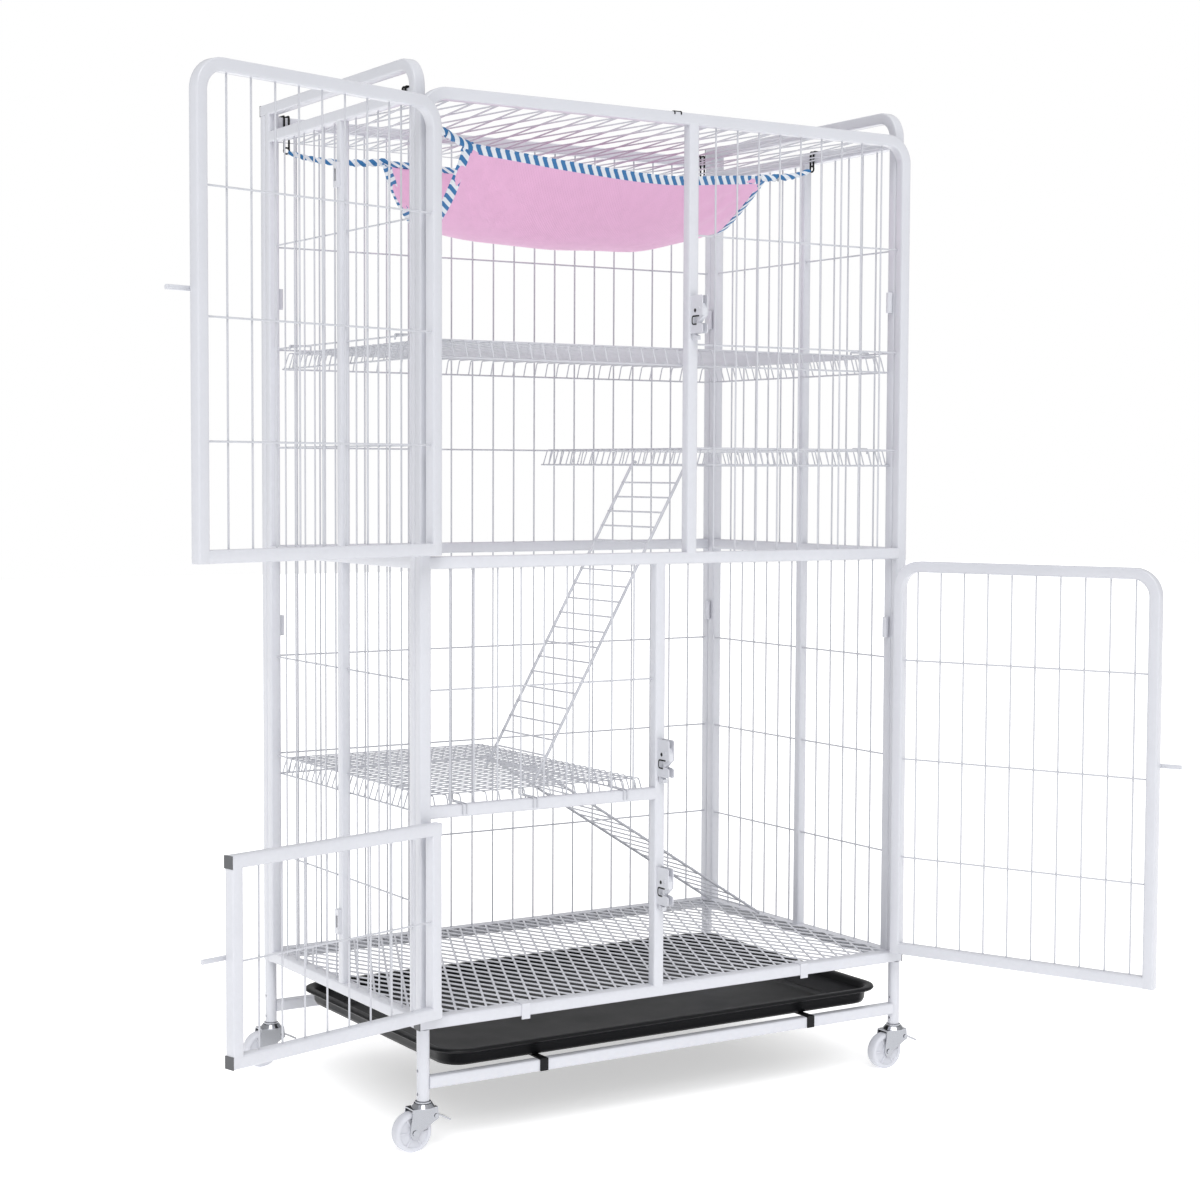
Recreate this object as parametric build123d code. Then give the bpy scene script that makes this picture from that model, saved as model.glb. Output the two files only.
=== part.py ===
from build123d import *
import math
import os

# A multi-tier wire cat cage on casters, with its three doors standing open.
# X runs to the right along the front, Y into the depth, Z up. Millimetres.

# Overall frame
cage_width = 760.0
cage_depth = 475.0
tube = 15.0
tube_edge = 1.6
corner_radius = 38.0
floor_z = 150.0
middle_z = 716.0
front_top_z = 1282.0
rail_lift = 22.5
side_post = 13.0
side_post_y = 222.5
plug_lip = 1.5
plug_depth = 14.0
plug_wall = 1.4

# Wire panels
wire = 2.4
wire_grip = 1.0
weld_gap = 0.05
upper_rungs = [135.0, 270.0, 411.0]
lower_rungs = [138.0, 275.0, 412.0]
back_pitch = 34.8
back_wires = 20
side_pitch = 31.4
side_wires = 12
front_pitch = 34.6
front_wires = 9
small_wires = 8
lower_wires = 10

# Front openings
upper_door_width = 376.0
lower_bay_width = 328.0
small_door_height = 245.0
grille_rung = 142.0
grille_pitch = 33.6
grille_wires = 9

# Doors and hinges
door_gap = 2.0
hinge_gap = 3.0
door_corner = 30.0
door_pitch = 34.8
small_door_pitch = 33.8
upper_open_angle = 163.0
small_open_angle = 164.0
lower_open_angle = 113.0
swing_limit = 180.0
knuckle_radius = 2.5
pin_radius = 1.4
pin_clearance = 0.05
leaf = 1.2
leaf_height = 42.0
leaf_width = 12.0
knuckle_gap = 0.3
upper_hinge_inset = [98.0, 172.0]
small_hinge_inset = [57.0, 66.0]
lower_hinge_inset = [97.0, 98.0]

# Latches
striker_radius = 3.0
striker_grip = 13.0
striker_reach = 25.0
striker_forward = 8.0
upper_latch_up = 300.0
small_latch_up = 125.0
lower_latch_up = 292.0
bracket_width = 9.0
bracket_sheet = 1.2
bracket_depth = 28.0
bracket_below = 17.0
bracket_above = 32.0
mouth_half = 9.0
slot_half = 3.6
catch_clearance = 0.3
catch_travel = 9.0
spine_sheet = 2.7
catch_nose_drop = 5.0
catch_tail = 25.0
catch_rivet_up = 14.6
catch_rivet_back = 18.5
catch_crown = 21.5
rivet_radius = 1.5
rivet_clearance = 0.1
rivet_head = 2.6
rivet_head_thick = 1.0

# Feet and casters
leg_radius = 8.0
leg_bottom = 61.0
low_rail_drop = 59.0
flange_radius = 10.0
flange_thick = 2.0
kingpin_radius = 3.0
kingpin_head = 5.0
kingpin_head_thick = 2.5
running_gap = 0.3
bearing_radius = 15.0
bearing_height = 4.5
fork_sheet = 1.6
pin_head = 1.5
pin_head_thick = 1.2
wheel_radius = 25.0
wheel_width = 17.0
wheel_edge = 3.0
hub_radius = 7.5
wheel_dish = 2.0
axle_radius = 2.5
axle_clearance = 0.05
fork_offset = 16.0
cheek_clearance = 1.0
pedal_pin_x = 13.0
pedal_pin_z = 43.0
pedal_pin_radius = 1.5
pedal_hub_radius = 3.6
pedal_length = 21.0
pedal_drop = 8.0
brake_throw = 12.0
brake_gap = 0.33
brake_shoe = 1.0
pedal_width = 21.0
pedal_sheet = 2.0

# Litter tray and its straps
tray_x = [32.0, 735.0]
tray_y = [1.0, 442.0]
tray_rim_drop = 35.0
tray_rim = 12.0
tray_wall = 2.5
tray_corner = 45.0
tray_gap = 0.3
strap_x = [176.0, 600.0]
strap_width = 11.5
strap_sheet = 1.5
strap_hook = 16.0

# Nets
roof_cell = [34.8, 222.0]
floor_cell = [72.0, 124.0]
net_strand = 2.2
net_sheet = 1.6
net_rim = 5.0
roof_net_up = 2.0

# Shelves
shelf_pitch = 33.0
shelf_gap = 5.0
lip_flare = 8.0
top_shelf_drop = 4.0
side_shelf_up = 2.0
low_shelf_drop = 3.0
lip_drop = 22.0
side_shelf_width = 310.0
brace_count = 5
small_brace_count = 3
shelf_hook_width = 4.0
shelf_hook_sheet = 2.0

# Ladders
ladder_length = 470.0
ladder_width = 132.0
ladder_rail = 4.0
ladder_pitch = 22.5
ladder_hook_radius = 2.0
ladder_seat = 0.3
upper_ladder_y = 65.0
lower_ladder_y = 314.0
front_hook_cells = [0.5, 3.5, 7.5]
front_hook_width = 7.0

# Hammock
cloth = 2.6
cloth_spans = 10
hem_x = [97.0, 285.0, 475.0, 668.0]
# Each row gives places in the depth, then drops below the top of the front opening.
hem_front = [(65.0, 40.0), (110.0, 45.0), (158.0, 44.0), (209.0, 25.0)]
hem_belly = [(225.0, 139.0), (245.0, 145.0), (275.0, 140.0), (312.0, 105.0)]
hem_back = [(412.0, 5.0), (414.0, 16.0), (420.0, 16.0), (428.0, 5.0)]
strap_thick = 4.5
strap_thin = 3.0
hook_sheet = 3.0
hook_width = 16.0
hook_gap = 0.3
hook_tail = 22.0
front_left_hook_y = 39.0
front_right_hook_y = 202.0
back_hook_inset = 32.0

# Clips and small fittings
clip_sheet = 1.2
clip_width = 12.0
deck_clip_x = [149.0, 588.0]
roof_clip_x = 372.0
bracket_slot_inset = [96.0, 68.0]
slot_bracket_height = 32.0
slot_bracket_width = 10.0
slot_bracket_depth = 5.0
connector_radius = 4.5
connector_height = 28.0
connector_inset = [96.0, 212.0]

# Places that follow from the sizes above
inner_left = tube
inner_right = cage_width - tube
side_front = tube
side_back = cage_depth - tube
deck_z = floor_z + tube
rail_z = front_top_z + tube + rail_lift
low_rail_z = floor_z - tube - low_rail_drop
tray_rim_z = floor_z - tray_rim_drop
roof_net_z = front_top_z + roof_net_up
back_top_z = rail_z - tube
front_top = front_top_z + tube
upper_bar_x = inner_left + upper_door_width
lower_bar_x = inner_left + lower_bay_width
small_bar_z = deck_z + small_door_height
upper_deck_z = middle_z + tube
upper_rungs_z = [upper_deck_z + up for up in upper_rungs]
lower_rungs_z = [deck_z + up for up in lower_rungs]
grille_rung_z = small_bar_z + tube + grille_rung
upper_hinges_z = [upper_deck_z + upper_hinge_inset[0], front_top_z - upper_hinge_inset[1]]
small_hinges_z = [deck_z + small_hinge_inset[0], small_bar_z - small_hinge_inset[1]]
lower_hinges_z = [deck_z + lower_hinge_inset[0], middle_z - lower_hinge_inset[1]]
upper_latch_z = upper_deck_z + upper_latch_up
small_latch_z = deck_z + small_latch_up
lower_latch_z = deck_z + lower_latch_up
top_shelf_z = upper_rungs_z[1] - top_shelf_drop
side_shelf_z = upper_rungs_z[0] + side_shelf_up
low_shelf_z = lower_rungs_z[1] - low_shelf_drop
side_shelf_x = inner_right - side_shelf_width
bracket_slot_z = [floor_z + bracket_slot_inset[0], front_top_z - bracket_slot_inset[1]]
connector_z = [middle_z - connector_inset[0], front_top_z - connector_inset[1]]
hinge_x_left = inner_left + hinge_gap / 2
hinge_x_right = inner_right - hinge_gap / 2
hinge_y = -knuckle_radius
wire_plane = (tube - wire) / 2

PLANES = {"X": Plane.YZ, "Y": Plane.ZX, "Z": Plane.XY}
pieces = {}


def box(x0, x1, y0, y1, z0, z1):
    centre = Pos((x0 + x1) / 2, (y0 + y1) / 2, (z0 + z1) / 2)
    return centre * Box(x1 - x0, y1 - y0, z1 - z0)


def prism(axis, start, stop, points):
    """A closed outline drawn across one axis and drawn out along it."""
    plane = PLANES[axis].offset(start)
    outline = plane * Polyline(*points, close=True)
    return extrude(make_face(outline), amount=stop - start, dir=plane.z_dir)


def round_bar(axis, start, stop, a, b, radius):
    plane = PLANES[axis].offset(start)
    return extrude(plane * Pos(a, b) * Circle(radius), amount=stop - start, dir=plane.z_dir)


def small_bar(axis, start, stop, a, b, radius, sides=12):
    """A round rod small enough to be drawn with flats, its flats no wider than the radius given."""
    plane = PLANES[axis].offset(start)
    section = plane * Pos(a, b) * RegularPolygon(radius, sides)
    return extrude(section, amount=stop - start, dir=plane.z_dir)


def small_hole(axis, start, stop, a, b, radius, sides=12):
    """The cut for a running fit round a small pin: its flats stand clear of the pin."""
    plane = PLANES[axis].offset(start)
    section = plane * Pos(a, b) * RegularPolygon(radius, sides, major_radius=False)
    return extrude(section, amount=stop - start, dir=plane.z_dir)


def tube_section(size):
    """A square section with its four corners eased."""
    return chamfer(Rectangle(size, size).vertices(), tube_edge)


def tube_bar(axis, start, stop, a, b, size=tube):
    """A straight square tube; a and b are its low corner on the other two axes."""
    plane = PLANES[axis].offset(start)
    section = plane * Pos(a + size / 2, b + size / 2) * tube_section(size)
    return extrude(section, amount=stop - start, dir=plane.z_dir)


def bent_tube(points, radius):
    path = FilletPolyline(*points, radius=radius)
    start = Plane(origin=path @ 0, z_dir=path % 0)
    return sweep(start * tube_section(tube), path=path)


def join(parts):
    return parts[0].fuse(*parts[1:]).clean()


def save(name, *solids):
    """Keep one named piece; its solids are written once the whole cage is known."""
    flat = []
    for item in solids:
        flat.extend(item.solids())
    pieces[name] = flat


def spaced(start, pitch, count):
    return [start + pitch * i for i in range(count)]


def centred(low, high, pitch, count):
    return spaced((low + high) / 2 - pitch * (count - 1) / 2, pitch, count)


def front_grid(uprights, rungs, x0, x1, z0, z1, y, gap=0.0):
    """Wires in the plane of the front; the rungs lie on the uprights, or a hair off them."""
    wires = []
    half = wire / 2
    for x in uprights:
        wires.append(box(x - half, x + half, y, y + wire, z0 - wire_grip, z1 + wire_grip))
    for z in rungs:
        wires.append(box(x0 - wire_grip, x1 + wire_grip, y + wire + gap, y + 2 * wire, z - half,
                         z + half))
    return wires


# Front panel: an arched tube standing on a full-width floor bar, and its cross bars.
mid = tube / 2
arch = bent_tube([(mid, mid, deck_z), (mid, mid, front_top_z + mid),
                  (cage_width - mid, mid, front_top_z + mid), (cage_width - mid, mid, deck_z)],
                 corner_radius - mid)
floor_bar = tube_bar("X", 0, cage_width, 0, floor_z)
bore = tube - 2 * plug_wall
for start in (0, cage_width - plug_depth):
    floor_bar = floor_bar - box(start, start + plug_depth, plug_wall, plug_wall + bore,
                                floor_z + plug_wall, floor_z + plug_wall + bore)
front_bars = [arch, floor_bar,
              tube_bar("X", mid, cage_width - mid, 0, middle_z),
              tube_bar("Z", upper_deck_z - mid, front_top_z + mid, upper_bar_x, 0),
              tube_bar("Z", deck_z - mid, middle_z + mid, lower_bar_x, 0),
              tube_bar("X", mid, lower_bar_x + mid, 0, small_bar_z)]
save("front_frame", join(front_bars))

mesh_left = upper_bar_x + tube
upper_mesh = front_grid(centred(mesh_left, inner_right, front_pitch, front_wires), upper_rungs_z,
                        mesh_left, inner_right, upper_deck_z, front_top_z, wire_plane)
grille_z = small_bar_z + tube
grille_places = centred(inner_left, lower_bar_x, grille_pitch, grille_wires)
lower_mesh = front_grid(grille_places, [grille_rung_z], inner_left, lower_bar_x, grille_z,
                        middle_z, wire_plane)


def trimmed(wires, x0, x1, z0, z1):
    """Wires cut flush to the faces of the bars that they are welded between."""
    return join(wires) & box(x0, x1, 0, tube, z0, z1)


save("front_mesh_upper", trimmed(upper_mesh, mesh_left, inner_right, upper_deck_z, front_top_z))
save("front_mesh_lower", trimmed(lower_mesh, inner_left, lower_bar_x, grille_z, middle_z))

# Back panel: frame, middle bar and two fields of wires in one welding.
back_frame = [tube_bar("Z", floor_z, back_top_z + tube, 0, side_back),
              tube_bar("Z", floor_z, back_top_z + tube, cage_width - tube, side_back)]
for z in (floor_z, middle_z, back_top_z):
    back_frame.append(tube_bar("X", mid, cage_width - mid, side_back, z))
back_uprights = centred(inner_left, inner_right, back_pitch, back_wires)
back_grid = front_grid(back_uprights, upper_rungs_z, inner_left, inner_right, upper_deck_z,
                       back_top_z, side_back + wire_plane - wire, weld_gap)
back_grid += front_grid(back_uprights, lower_rungs_z, inner_left, inner_right, deck_z,
                        middle_z, side_back + wire_plane - wire, weld_gap)
back_panel = join(back_frame + back_grid)
save("back_panel", back_panel)


def side_panel(x, inward):
    """One side: an upright that bends into the top rail, bars, post and wires.

    x is the outer face of the frame and inward is +1 or -1 towards the cage."""
    low = min(x, x + inward * tube)
    centre = low + mid
    bars = [bent_tube([(centre, side_front + mid, floor_z), (centre, side_front + mid, rail_z + mid),
                       (centre, cage_depth, rail_z + mid)], corner_radius - mid),
            tube_bar("Z", floor_z, rail_z + mid, low, side_back - tube)]
    for z in (floor_z, middle_z, front_top_z):
        bars.append(tube_bar("Y", side_front + mid, side_back - mid, z, low))
    post = tube_bar("Z", floor_z + mid, front_top_z + mid, low + (tube - side_post) / 2,
                    side_post_y, side_post)
    bars.append(post)
    half = wire / 2
    rung_centre = centre + inward * (wire + weld_gap)
    for y in centred(side_front + tube, side_back - tube, side_pitch, side_wires):
        if side_post_y - wire < y < side_post_y + side_post + wire:
            continue
        for z0, z1 in ((deck_z, middle_z), (upper_deck_z, front_top_z)):
            bars.append(box(centre - half, centre + half, y - half, y + half,
                            z0 - wire_grip, z1 + wire_grip))
    for z in lower_rungs_z + upper_rungs_z:
        bars.append(box(rung_centre - half, rung_centre + half, side_front + tube - wire_grip,
                        side_back - tube + wire_grip, z - half, z + half))
    panel = join(bars)
    socket = box(low + plug_wall, low + plug_wall + bore, cage_depth - plug_depth, cage_depth,
                 rail_z + plug_wall, rail_z + plug_wall + bore)
    return panel - socket


save("left_panel", side_panel(0.0, 1))
save("right_panel", side_panel(cage_width, -1))

# Tube plugs: a flat head on a spigot that fills the tube's end.
plugs = []
for low in (0.0, cage_width - tube):
    head = box(low, low + tube, cage_depth, cage_depth + plug_lip, rail_z, rail_z + tube)
    spigot = box(low + plug_wall, low + plug_wall + bore, cage_depth - plug_depth, cage_depth,
                 rail_z + plug_wall, rail_z + plug_wall + bore)
    plugs.append(head + spigot)
for face, side in ((0.0, -1), (cage_width, 1)):
    head = box(min(face, face + side * plug_lip), max(face, face + side * plug_lip), 0, tube,
               floor_z, floor_z + tube)
    spigot = box(min(face, face - side * plug_depth), max(face, face - side * plug_depth),
                 plug_wall, plug_wall + bore, floor_z + plug_wall, floor_z + plug_wall + bore)
    plugs.append(head + spigot)
save("frame_plugs", *plugs)

# Legs, low rails and the straps that carry the tray.
leg_places = []
for x in (mid, cage_width - mid):
    for y in (mid, cage_depth - mid):
        leg_places.append((x, y))
legs = []
for x, y in leg_places:
    legs.append(small_bar("Z", leg_bottom, floor_z, x, y, leg_radius, 24))
save("corner_legs", *legs)
low_rails = []
for y in (0.0, cage_depth - tube):
    rail = tube_bar("X", mid, cage_width - mid, y, low_rail_z)
    for x in (mid, cage_width - mid):
        rail = rail - small_bar("Z", low_rail_z - tube, low_rail_z + 2 * tube, x, y + mid,
                                leg_radius, 24)
    low_rails.append(rail)
save("low_rails", *low_rails)
strap_top = low_rail_z + tube + strap_sheet
straps = []
for x in strap_x:
    y0 = -strap_sheet
    y1 = cage_depth + strap_sheet
    z0 = strap_top - strap_hook
    straps.append(prism("X", x - strap_width / 2, x + strap_width / 2,
                        [(y0, z0), (0, z0), (0, strap_top - strap_sheet),
                         (cage_depth, strap_top - strap_sheet), (cage_depth, z0), (y1, z0),
                         (y1, strap_top), (y0, strap_top)]))
save("tray_straps", *straps)

# Litter tray: a stepped pan with a flat rim.
tray_bottom = strap_top + tray_gap
tray_mid = ((tray_x[0] + tray_x[1]) / 2, (tray_y[0] + tray_y[1]) / 2)
tray_size = (tray_x[1] - tray_x[0], tray_y[1] - tray_y[0])


def tray_block(inset, z0, z1):
    outline = RectangleRounded(tray_size[0] - 2 * inset, tray_size[1] - 2 * inset,
                               tray_corner - inset)
    return extrude(Pos(tray_mid[0], tray_mid[1], z0) * outline, amount=z1 - z0)


tray_top = tray_rim_z + tray_wall
tray = tray_block(0, tray_rim_z - tray_wall, tray_top) + tray_block(tray_rim, tray_bottom, tray_top)
tray = tray - tray_block(tray_rim + tray_wall, tray_bottom + tray_wall, tray_top)
rim_groove = tray_block(tray_wall, tray_rim_z - tray_wall, tray_rim_z)
tray = tray - (rim_groove - tray_block(tray_rim, tray_rim_z - tray_wall, tray_rim_z))
save("litter_tray", tray)


def net(x0, x1, y0, y1, z, cell):
    """Expanded metal: rows of diamond gaps, each row shifted half a cell, in a rim."""
    columns = int((x1 - x0 - 2 * net_rim) // cell[0])
    rows = int((y1 - y0 - 2 * net_rim) // (cell[1] / 2)) - 1
    pitch_x = (x1 - x0 - 2 * net_rim) / columns
    pitch_y = (y1 - y0 - 2 * net_rim) / (rows + 1)
    middle = Pos((x0 + x1) / 2, (y0 + y1) / 2)
    sheet = middle * Rectangle(x1 - x0, y1 - y0)
    field = middle * Rectangle(x1 - x0 - 2 * net_rim, y1 - y0 - 2 * net_rim)
    slope = math.hypot(pitch_x / 2, pitch_y)
    half_x = pitch_x / 2 - net_strand / 2 * slope / pitch_y
    half_y = pitch_y - net_strand * slope / pitch_x
    gaps = []
    for row in range(rows + 2):
        shift = (row % 2) / 2
        for column in range(columns + 1 - row % 2):
            x = x0 + net_rim + (column + shift) * pitch_x
            y = y0 + net_rim + row * pitch_y
            diamond = Polyline((x - half_x, y), (x, y - half_y), (x + half_x, y), (x, y + half_y),
                               close=True)
            gaps.append(make_face(diamond) & field)
    holed = sheet.cut(*gaps)
    return extrude(Pos(0, 0, z) * holed, amount=net_sheet)


roof = net(inner_left, inner_right, side_front, side_back, roof_net_z, roof_cell)
save("roof_net", roof)
floor_net_z = deck_z - net_sheet
floor = net(inner_left, inner_right, side_front, side_back, floor_net_z, floor_cell)
save("floor_net", floor)
print("roof gaps", (len(roof.faces()) - 6) // 4, "floor gaps", (len(floor.faces()) - 6) // 4)


def bent_wire(axis, at, low, high, top, flare, drop):
    """A shelf wire: level on top, with both ends bent down and outwards."""
    points = [(low, top - drop), (low + flare, top - wire), (high - flare, top - wire),
              (high, top - drop), (high + wire, top - drop), (high + wire - flare, top),
              (low - wire + flare, top), (low - wire, top - drop)]
    if axis == "Y":
        points = [(z, x) for x, z in points]
        return prism("Y", at - wire / 2, at + wire / 2, points)
    return prism("X", at - wire / 2, at + wire / 2, points)


def shelf(x0, x1, y0, y1, top, braces):
    """A wire shelf: close wires across it, a few braces below, and a rim round the lip."""
    x0 += wire
    x1 -= wire
    y0 += wire
    y1 -= wire
    count = int((y1 - y0 - 2 * lip_flare) // shelf_pitch) + 1
    rows = centred(y0, y1, shelf_pitch, count)
    wires = [bent_wire("Y", y, x0, x1, top, lip_flare, lip_drop) for y in rows]
    inset = 2 * lip_flare
    step = (x1 - x0 - 2 * inset) / (braces - 1)
    for x in spaced(x0 + inset, step, braces):
        wires.append(bent_wire("X", x, y0, y1, top - wire - weld_gap, lip_flare, lip_drop - wire))
    low = top - lip_drop
    for x in (x0 - wire, x1):
        wires.append(box(x, x + wire, y0 - wire, y1 + wire, low - wire, low))
    for y in (y0 - wire, y1):
        wires.append(box(x0 - wire, x1 + wire, y, y + wire, low - wire, low))
    return wires


def side_hook(x, inward, y, brace_x, top, wire_z):
    """A flat hook from a shelf's end brace over the side panel's level wire."""
    centre = x + inward * (mid + wire)
    outer = centre - inward * (wire / 2 + hook_gap)
    tip = outer - inward * shelf_hook_sheet
    z0 = wire_z + wire / 2
    z1 = z0 + shelf_hook_sheet
    half = shelf_hook_width / 2
    over = box(min(tip, brace_x), max(tip, brace_x), y - half, y + half, z0, z1)
    down = box(min(tip, outer), max(tip, outer), y - half, y + half, z0 - 3 * wire, z1)
    riser = box(brace_x - wire / 2, brace_x + wire / 2, y - half, y + half,
                min(z0, top - 2 * wire), max(z1, top - wire))
    return [over, down, riser]


top_x = [inner_left + shelf_gap, inner_right - shelf_gap]
shelf_y = [side_front + wire, side_back - shelf_gap]
side_places = centred(side_front + tube, side_back - tube, side_pitch, side_wires)
hook_places = [side_places[0] + side_pitch / 2, side_places[-1] - side_pitch / 2]
upper_wires = shelf(top_x[0], top_x[1], shelf_y[0], shelf_y[1], top_shelf_z, brace_count)
middle_wires = shelf(side_shelf_x, inner_right, shelf_y[0], shelf_y[1], side_shelf_z,
                     small_brace_count)
low_wires = shelf(inner_left, lower_bar_x, shelf_y[0], shelf_y[1], low_shelf_z,
                  small_brace_count)
brace_inset = wire + 2 * lip_flare
for y in hook_places:
    upper_wires += side_hook(0, 1, y, top_x[0] + brace_inset, top_shelf_z, upper_rungs_z[1])
    upper_wires += side_hook(cage_width, -1, y, top_x[1] - brace_inset, top_shelf_z,
                             upper_rungs_z[1])
    middle_wires += side_hook(cage_width, -1, y, inner_right - brace_inset, side_shelf_z,
                              upper_rungs_z[0])
    low_wires += side_hook(0, 1, y, inner_left + brace_inset, low_shelf_z, lower_rungs_z[1])
bar_top = small_bar_z + tube
first_row = shelf_y[0] + wire + 2 * lip_flare
for cell in front_hook_cells:
    x = grille_places[0] + cell * grille_pitch
    low_wires.append(prism("X", x - front_hook_width / 2, x + front_hook_width / 2,
                           [(-clip_sheet, small_bar_z + door_gap), (0, small_bar_z + door_gap),
                            (0, bar_top), (first_row + wire, bar_top),
                            (first_row + wire, low_shelf_z - wire),
                            (first_row - wire, low_shelf_z - wire),
                            (first_row - wire, bar_top + clip_sheet),
                            (-clip_sheet, bar_top + clip_sheet)]))
save("shelf_upper", join(upper_wires))
save("shelf_middle", join(middle_wires))
save("shelf_lower", join(low_wires))


# Ladders: two rails with open hooks round the shelf's rim, and close rungs.
def ladder(axis_x, axis_z, foot_z, side, first_y):
    height = axis_z - foot_z - ladder_seat
    under = ladder_hook_radius
    angle = math.asin(height / math.hypot(ladder_length, under)) + math.atan2(under, ladder_length)
    run = (side * math.cos(angle), 0, -math.sin(angle))
    ring = ladder_hook_radius + ladder_rail
    eye = Circle(ring) - Circle(ladder_hook_radius)
    hook = eye - Pos(-ring / 2, -ring) * Rectangle(2 * ring, 2 * ring)
    straight = Pos(ladder_length / 2, under + ladder_rail / 2) * Rectangle(ladder_length, ladder_rail)
    parts = []
    for y in (first_y, first_y + ladder_width):
        plane = Plane(origin=(axis_x, y, axis_z), x_dir=run, z_dir=(0, -side, 0))
        parts.append(extrude(plane * (hook + straight), amount=ladder_rail / 2, both=True))
    centre = Plane(origin=(axis_x, first_y + ladder_width / 2, axis_z), x_dir=run,
                   z_dir=(0, -side, 0))
    for i in range(int((ladder_length - 3 * ladder_rail) // ladder_pitch)):
        along = ladder_length - ladder_pitch * (i + 0.5)
        rung = centre * Pos(along, ring - wire / 2) * Rectangle(wire, wire)
        parts.append(extrude(rung, amount=ladder_width / 2 - ladder_rail / 4, both=True))
    return join(parts)


upper_ladder_axis = (side_shelf_x + wire / 2, side_shelf_z - lip_drop - wire / 2)
lower_ladder_axis = (lower_bar_x - wire / 2, low_shelf_z - lip_drop - wire / 2)
save("upper_ladder", ladder(upper_ladder_axis[0], upper_ladder_axis[1], low_shelf_z, -1,
                            upper_ladder_y))
save("lower_ladder", ladder(lower_ladder_axis[0], lower_ladder_axis[1], deck_z, 1,
                            lower_ladder_y))


# Doors: built closed, hung on butt hinges at the front inner corner of the posts, then opened.
def hinge(axis_x, side, z):
    """The post's leaf with the lower knuckle and pin, and the door's leaf, both closed."""
    low = z - leaf_height / 2
    high = z + leaf_height / 2
    split = z
    rear = leaf_width
    near = axis_x - side * hinge_gap / 2
    far = axis_x + side * hinge_gap / 2
    knuckle = small_bar("Z", low, split, axis_x, hinge_y, knuckle_radius)
    pin = round_bar("Z", split, high, axis_x, hinge_y, pin_radius)
    post = [knuckle, pin,
            box(min(near, near + side * leaf), max(near, near + side * leaf), knuckle_gap, rear,
                low, high),
            box(min(near, near + side * leaf), max(near, near + side * leaf), hinge_y, rear,
                low, split)]
    upper = small_bar("Z", split + knuckle_gap, high, axis_x, hinge_y, knuckle_radius)
    door = join([upper,
                 box(min(far, far - side * leaf), max(far, far - side * leaf), knuckle_gap, rear,
                     low, high),
                 box(min(far, far - side * leaf), max(far, far - side * leaf), hinge_y, rear,
                     split + knuckle_gap, high)])
    hole = small_hole("Z", low, high, axis_x, hinge_y, pin_radius + pin_clearance)
    return join(post), door - hole


def door_frame(x0, x1, z0, z1, corner, rungs, pitch, wires):
    """A door's tubes and wires, closed; corner is the bend of its two upper corners."""
    bars = [bent_tube([(x0 + mid, mid, z0), (x0 + mid, mid, z1 - mid), (x1 - mid, mid, z1 - mid),
                       (x1 - mid, mid, z0)], corner),
            tube_bar("X", x0 + mid, x1 - mid, 0, z0)]
    uprights = centred(x0 + tube, x1 - tube, pitch, wires)
    grid = front_grid(uprights, rungs, x0 + tube, x1 - tube, z0 + tube, z1 - tube, wire_plane,
                      weld_gap)
    return join(bars + grid)


def square_door(x0, x1, z0, z1, rungs, pitch, wires, free):
    """A square door: level tubes run its full width and are open for plugs at the free end."""
    bars = [tube_bar("X", x0, x1, 0, z0), tube_bar("X", x0, x1, 0, z1 - tube),
            tube_bar("Z", z0 + mid, z1 - mid, x0, 0), tube_bar("Z", z0 + mid, z1 - mid, x1 - tube, 0)]
    uprights = centred(x0 + tube, x1 - tube, pitch, wires)
    grid = front_grid(uprights, rungs, x0 + tube, x1 - tube, z0 + tube, z1 - tube, wire_plane,
                      weld_gap)
    frame = join(bars + grid)
    ends = []
    for z in (z0, z1 - tube):
        socket = box(free - plug_depth, free, plug_wall, plug_wall + bore, z + plug_wall,
                     z + plug_wall + bore)
        frame = frame - socket
        ends.append(socket + box(free, free + plug_lip / 2, 0, tube, z, z + tube))
    return frame, ends


def striker(edge, side, z):
    """The latch rod on a short foot on the stile, reaching past the door's free edge."""
    tail = edge - side * striker_grip
    tip = edge + side * striker_reach
    rod = small_bar("X", min(tail, tip), max(tail, tip), -striker_forward, z, striker_radius, 16)
    foot = box(min(tail, edge - side * door_gap), max(tail, edge - side * door_gap),
               -striker_forward, 0, z - striker_radius / 2, z + striker_radius / 2)
    return join([rod, foot])


def opened(shapes, axis_x, angle):
    return [shape.rotate(Axis((axis_x, hinge_y, 0), (0, 0, 1)), angle) for shape in shapes]


post_leaves = []
upper_x = (inner_left + hinge_gap, upper_bar_x - door_gap)
upper_frame = door_frame(upper_x[0], upper_x[1], upper_deck_z + door_gap, front_top_z - door_gap,
                         door_corner, upper_rungs_z, door_pitch, front_wires)
small_x = (inner_left + hinge_gap, lower_bar_x - door_gap)
small_rung = (deck_z + small_bar_z) / 2
small_frame, small_plugs = square_door(small_x[0], small_x[1] - plug_lip / 2, deck_z + door_gap,
                                       small_bar_z - door_gap, [small_rung], small_door_pitch,
                                       small_wires, small_x[1] - plug_lip / 2)
lower_x = (lower_bar_x + tube + door_gap, inner_right - hinge_gap)
lower_frame = door_frame(lower_x[0], lower_x[1], deck_z + door_gap, middle_z - door_gap,
                         door_corner, lower_rungs_z, door_pitch, lower_wires)
doors = (("upper_door", upper_frame, [], hinge_x_left, 1, upper_x[1], upper_hinges_z,
          upper_latch_z, -upper_open_angle),
         ("small_door", small_frame, small_plugs, hinge_x_left, 1, small_x[1], small_hinges_z,
          small_latch_z, -small_open_angle),
         ("lower_door", lower_frame, [], hinge_x_right, -1, lower_x[0], lower_hinges_z,
          lower_latch_z, lower_open_angle))
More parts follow.
